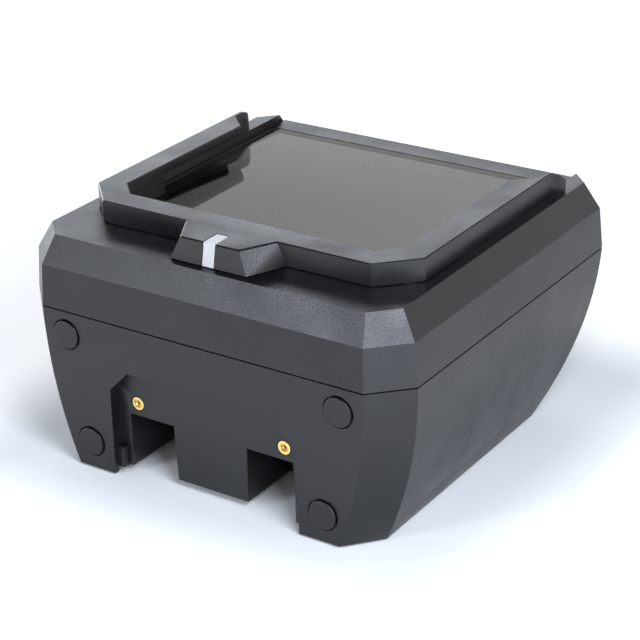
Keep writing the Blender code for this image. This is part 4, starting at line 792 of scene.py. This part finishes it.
# Gasket and glass
# The page lies on a 3 mm float glass plate, bedded on a black foam gasket in the cap's well.
# Float glass is clear, with a faint green in it.
GASKET_EDGE = 0.0001
GLASS_ARRIS = 0.00030
GLASS_PLAY = 0.0010
LEVEL_NORMAL_Z = 0.9
foam = grained("closed_cell_foam_black", "#0f1011", roughness=0.80, grain=0.00035, depth=0.000060,
               tone=0.2)
softened("glass_gasket", "foam_gasket", foam, GASKET_EDGE, 1)
float_glass = grained("float_glass_clear", "#eef6f2", roughness=0.0, grain=0.00100, depth=0.0, tone=0.01,
                      sway=0.0, Transmission_Weight=1.0, IOR=1.52)
room = corner_wedges("glass_corners", CORNER_LINE - GLASS_PLAY, glass_low.z - GLASS_PLAY,
                     glass_high.z + GLASS_PLAY)
glass = softened("scan_glass", "scan_glass_plate", float_glass, GLASS_ARRIS, 1, room,
                 "DIFFERENCE")
# The cut edges are ground, so they scatter the light as a dull, slightly green rim and mirror nothing.
ground_edge = grained("ground_glass_edge", "#5d6b66", roughness=0.65, grain=0.00040, depth=0.000030)
glass.data.materials.append(ground_edge)
for face in glass.data.polygons:
    if abs(face.normal.z) < LEVEL_NORMAL_Z:
        face.material_index = 1

# Document frame
# The tray that the document is pushed into: a front bar with a nose, two rails with lips over the
# page's edges, and flared ends that guide it in. One moulding, screwed to the deck from below.
# Its grain is the housing's, drawn as coarse, and its gloss is slightly higher.
FRAME_EDGE = 0.00025
frame_plastic = grained("spark_eroded_abs_frame", "#0c0e11", roughness=0.34, grain=GRAIN,
                        depth=GRAIN_DEPTH, tone=GRAIN_TONE, sway=GRAIN_SWAY)
softened("document_frame", "document_frame_moulding", frame_plastic, FRAME_EDGE)

# Status light
# An opal acrylic guide, flush with the nose, that takes the light of a diode on a small board below it
# up to the user. Moulded, with a satin face.
GUIDE_EDGE = 0.00012
opal_acrylic = grained("moulded_acrylic_opal", "#bfbebd", roughness=0.30, grain=0.00080, depth=0.000003,
                       tone=0.02, Subsurface_Weight=0.25, Subsurface_Scale=0.0015)
softened("status_light_board", "status_board_panel", board_green, BOARD_EDGE, 1)
softened("status_light_guide", "status_light_bar", opal_acrylic, GUIDE_EDGE)

# Studio
# A plain matt white floor that keeps a soft shadow, deepened by painted shade close round the reader,
# an even white surround, five soft boxes and two small cards close to the right front corner.
FLOOR_SIZE = 40.0
FLOOR_COLOUR = "#f8f8f8"
FLOOR_GLOW = 0.46
# Within this distance of the reader's box the floor's glow is held back: painted shade round the reader.
PAINTED_SHADE_REACH = 0.05
FAR_GLOW = 0.30
FAR_FROM = 0.25
FAR_TO = 0.90
SURROUND_COLOUR = "#eff4fc"
WHITE_UP_TO = 0.42
DARK_FROM = 0.72
CEILING = 0.05
LAMP_COLOUR = "#e8f1ff"
BOX_DISTANCE = 1.6
CARD_DISTANCE = 0.45
CARD_SIZE = (0.14, 0.16)


def seen(tree):
    """1 for a ray from the camera, also by way of a mirroring or clear face, and 0 for any other."""
    path = add(tree, "ShaderNodeLightPath").outputs
    mirrored = add(tree, "ShaderNodeMath", {0: path["Is Camera Ray"], 1: path["Is Glossy Ray"]},
                   operation="MAXIMUM").outputs[0]
    return add(tree, "ShaderNodeMath", {0: mirrored, 1: path["Is Transmission Ray"]},
               operation="MAXIMUM").outputs[0]


# The surround is white where it is seen, lights the reader a little blue, and darkens towards the top.
world = bpy.data.worlds.new("studio")
scene.world = world
world.use_nodes = True
sky = world.node_tree
sky.nodes.clear()
way = add(sky, "ShaderNodeTexCoord").outputs["Generated"]
rise = add(sky, "ShaderNodeSeparateXYZ", {0: way}).outputs["Z"]
ceiling = add(sky, "ShaderNodeMapRange",
              {"Value": rise, "From Min": WHITE_UP_TO, "From Max": DARK_FROM, "To Min": 1.0,
               "To Max": CEILING}, interpolation_type="SMOOTHSTEP")
backdrop = add(sky, "ShaderNodeMix",
               {"Factor": seen(sky), "A": linear(SURROUND_COLOUR), "B": linear("#ffffff")},
               data_type="RGBA")
surround = add(sky, "ShaderNodeBackground",
               {"Color": backdrop.outputs["Result"], "Strength": ceiling.outputs[0]})
add(sky, "ShaderNodeOutputWorld", {"Surface": surround.outputs[0]})

# The floor glows only where it is seen, so that it is white away from the reader and lights nothing.
# Its glow is held back close round the reader, which paints shade there over its real shadow, also in
# what mirrors the floor. The glow grows once more towards the horizon.
half = FLOOR_SIZE / 2
floor_mesh = bpy.data.meshes.new("floor")
floor_mesh.from_pydata([(-half, -half, 0), (half, -half, 0), (half, half, 0), (-half, half, 0)], [],
                       [(0, 1, 2, 3)])
floor = bpy.data.objects.new("floor", floor_mesh)
scene.collection.objects.link(floor)
paper = bpy.data.materials.new("matt_white_paper")
paper.use_nodes = True
paper_tree = paper.node_tree
paper_tree.nodes.clear()
matt = add(paper_tree, "ShaderNodeBsdfDiffuse", {"Color": linear(FLOOR_COLOUR)})
viewed = seen(paper_tree)
spot = add(paper_tree, "ShaderNodeTexCoord").outputs["Object"]
spot = add(paper_tree, "ShaderNodeVectorMath", {0: spot}, operation="ABSOLUTE").outputs[0]
clear = add(paper_tree, "ShaderNodeVectorMath", {0: spot, 1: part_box("lower_housing")[1]},
            operation="SUBTRACT").outputs[0]
clear = add(paper_tree, "ShaderNodeVectorMath", {0: clear, 1: (0, 0, 0)},
            operation="MAXIMUM").outputs[0]
clear = add(paper_tree, "ShaderNodeVectorMath", {0: clear}, operation="LENGTH").outputs["Value"]
# Painted shade: the glow rises from nothing at the reader's box to full at the reach above.
glow_past_painted_shade = add(paper_tree, "ShaderNodeMapRange",
                {"Value": clear, "From Max": PAINTED_SHADE_REACH, "To Max": FLOOR_GLOW},
                interpolation_type="SMOOTHSTEP")
far_glow = add(paper_tree, "ShaderNodeMapRange",
               {"Value": clear, "From Min": FAR_FROM, "From Max": FAR_TO, "To Max": FAR_GLOW},
               interpolation_type="SMOOTHSTEP")
glow_with_painted_shade = add(paper_tree, "ShaderNodeMath", {0: glow_past_painted_shade.outputs[0], 1: far_glow.outputs[0]},
                 operation="ADD").outputs[0]
strength = add(paper_tree, "ShaderNodeMath", {0: glow_with_painted_shade, 1: viewed},
               operation="MULTIPLY").outputs[0]
glow = add(paper_tree, "ShaderNodeEmission", {"Strength": strength})
both = add(paper_tree, "ShaderNodeAddShader", {0: matt.outputs[0], 1: glow.outputs[0]})
add(paper_tree, "ShaderNodeOutputMaterial", {"Surface": both.outputs[0]})
floor_mesh.materials.append(paper)

# The lamps are kept off the glass, as polarising filters would keep them, so that the glass shows the
# even surround and what lies below it, and no lamp's outline.
spared = bpy.data.collections.new("spared_by_the_lamps")
spared.objects.link(glass)
spared.collection_objects[0].light_linking.link_state = "EXCLUDE"


def soft_box(name, azimuth, elevation, size, brightness, distance=BOX_DISTANCE):
    """A soft box turned to the reader. Its brightness is that of its face, where 1 is white."""
    lamp = bpy.data.lights.new(name, "AREA")
    lamp.shape = "RECTANGLE"
    lamp.size, lamp.size_y = size
    lamp.energy = brightness * math.pi * size[0] * size[1]
    lamp.color = linear(LAMP_COLOUR)[:3]
    box = bpy.data.objects.new(name, lamp)
    scene.collection.objects.link(box)
    way = look(math.radians(azimuth), math.radians(elevation))
    facing = way.to_track_quat("Z", "Y").to_matrix().to_4x4()
    box.matrix_world = Matrix.Translation(way * distance) @ facing
    box.light_linking.receiver_collection = spared


soft_box("right_box", azimuth=74, elevation=30, size=(0.35, 0.40), brightness=13.4)
soft_box("front_box", azimuth=335, elevation=24, size=(0.40, 0.36), brightness=16.0)
soft_box("left_front_box", azimuth=300, elevation=8, size=(0.60, 0.40), brightness=7.6)
soft_box("left_box", azimuth=248, elevation=6, size=(0.70, 0.35), brightness=7.6)
soft_box("low_corner_card", azimuth=50, elevation=2, size=CARD_SIZE, brightness=6.5,
         distance=CARD_DISTANCE)
soft_box("high_corner_card", azimuth=51, elevation=41, size=CARD_SIZE, brightness=16.0,
         distance=CARD_DISTANCE)
soft_box("back_box", azimuth=216, elevation=28, size=(0.85, 0.40), brightness=2.75)

scene.view_settings.view_transform = "Standard"
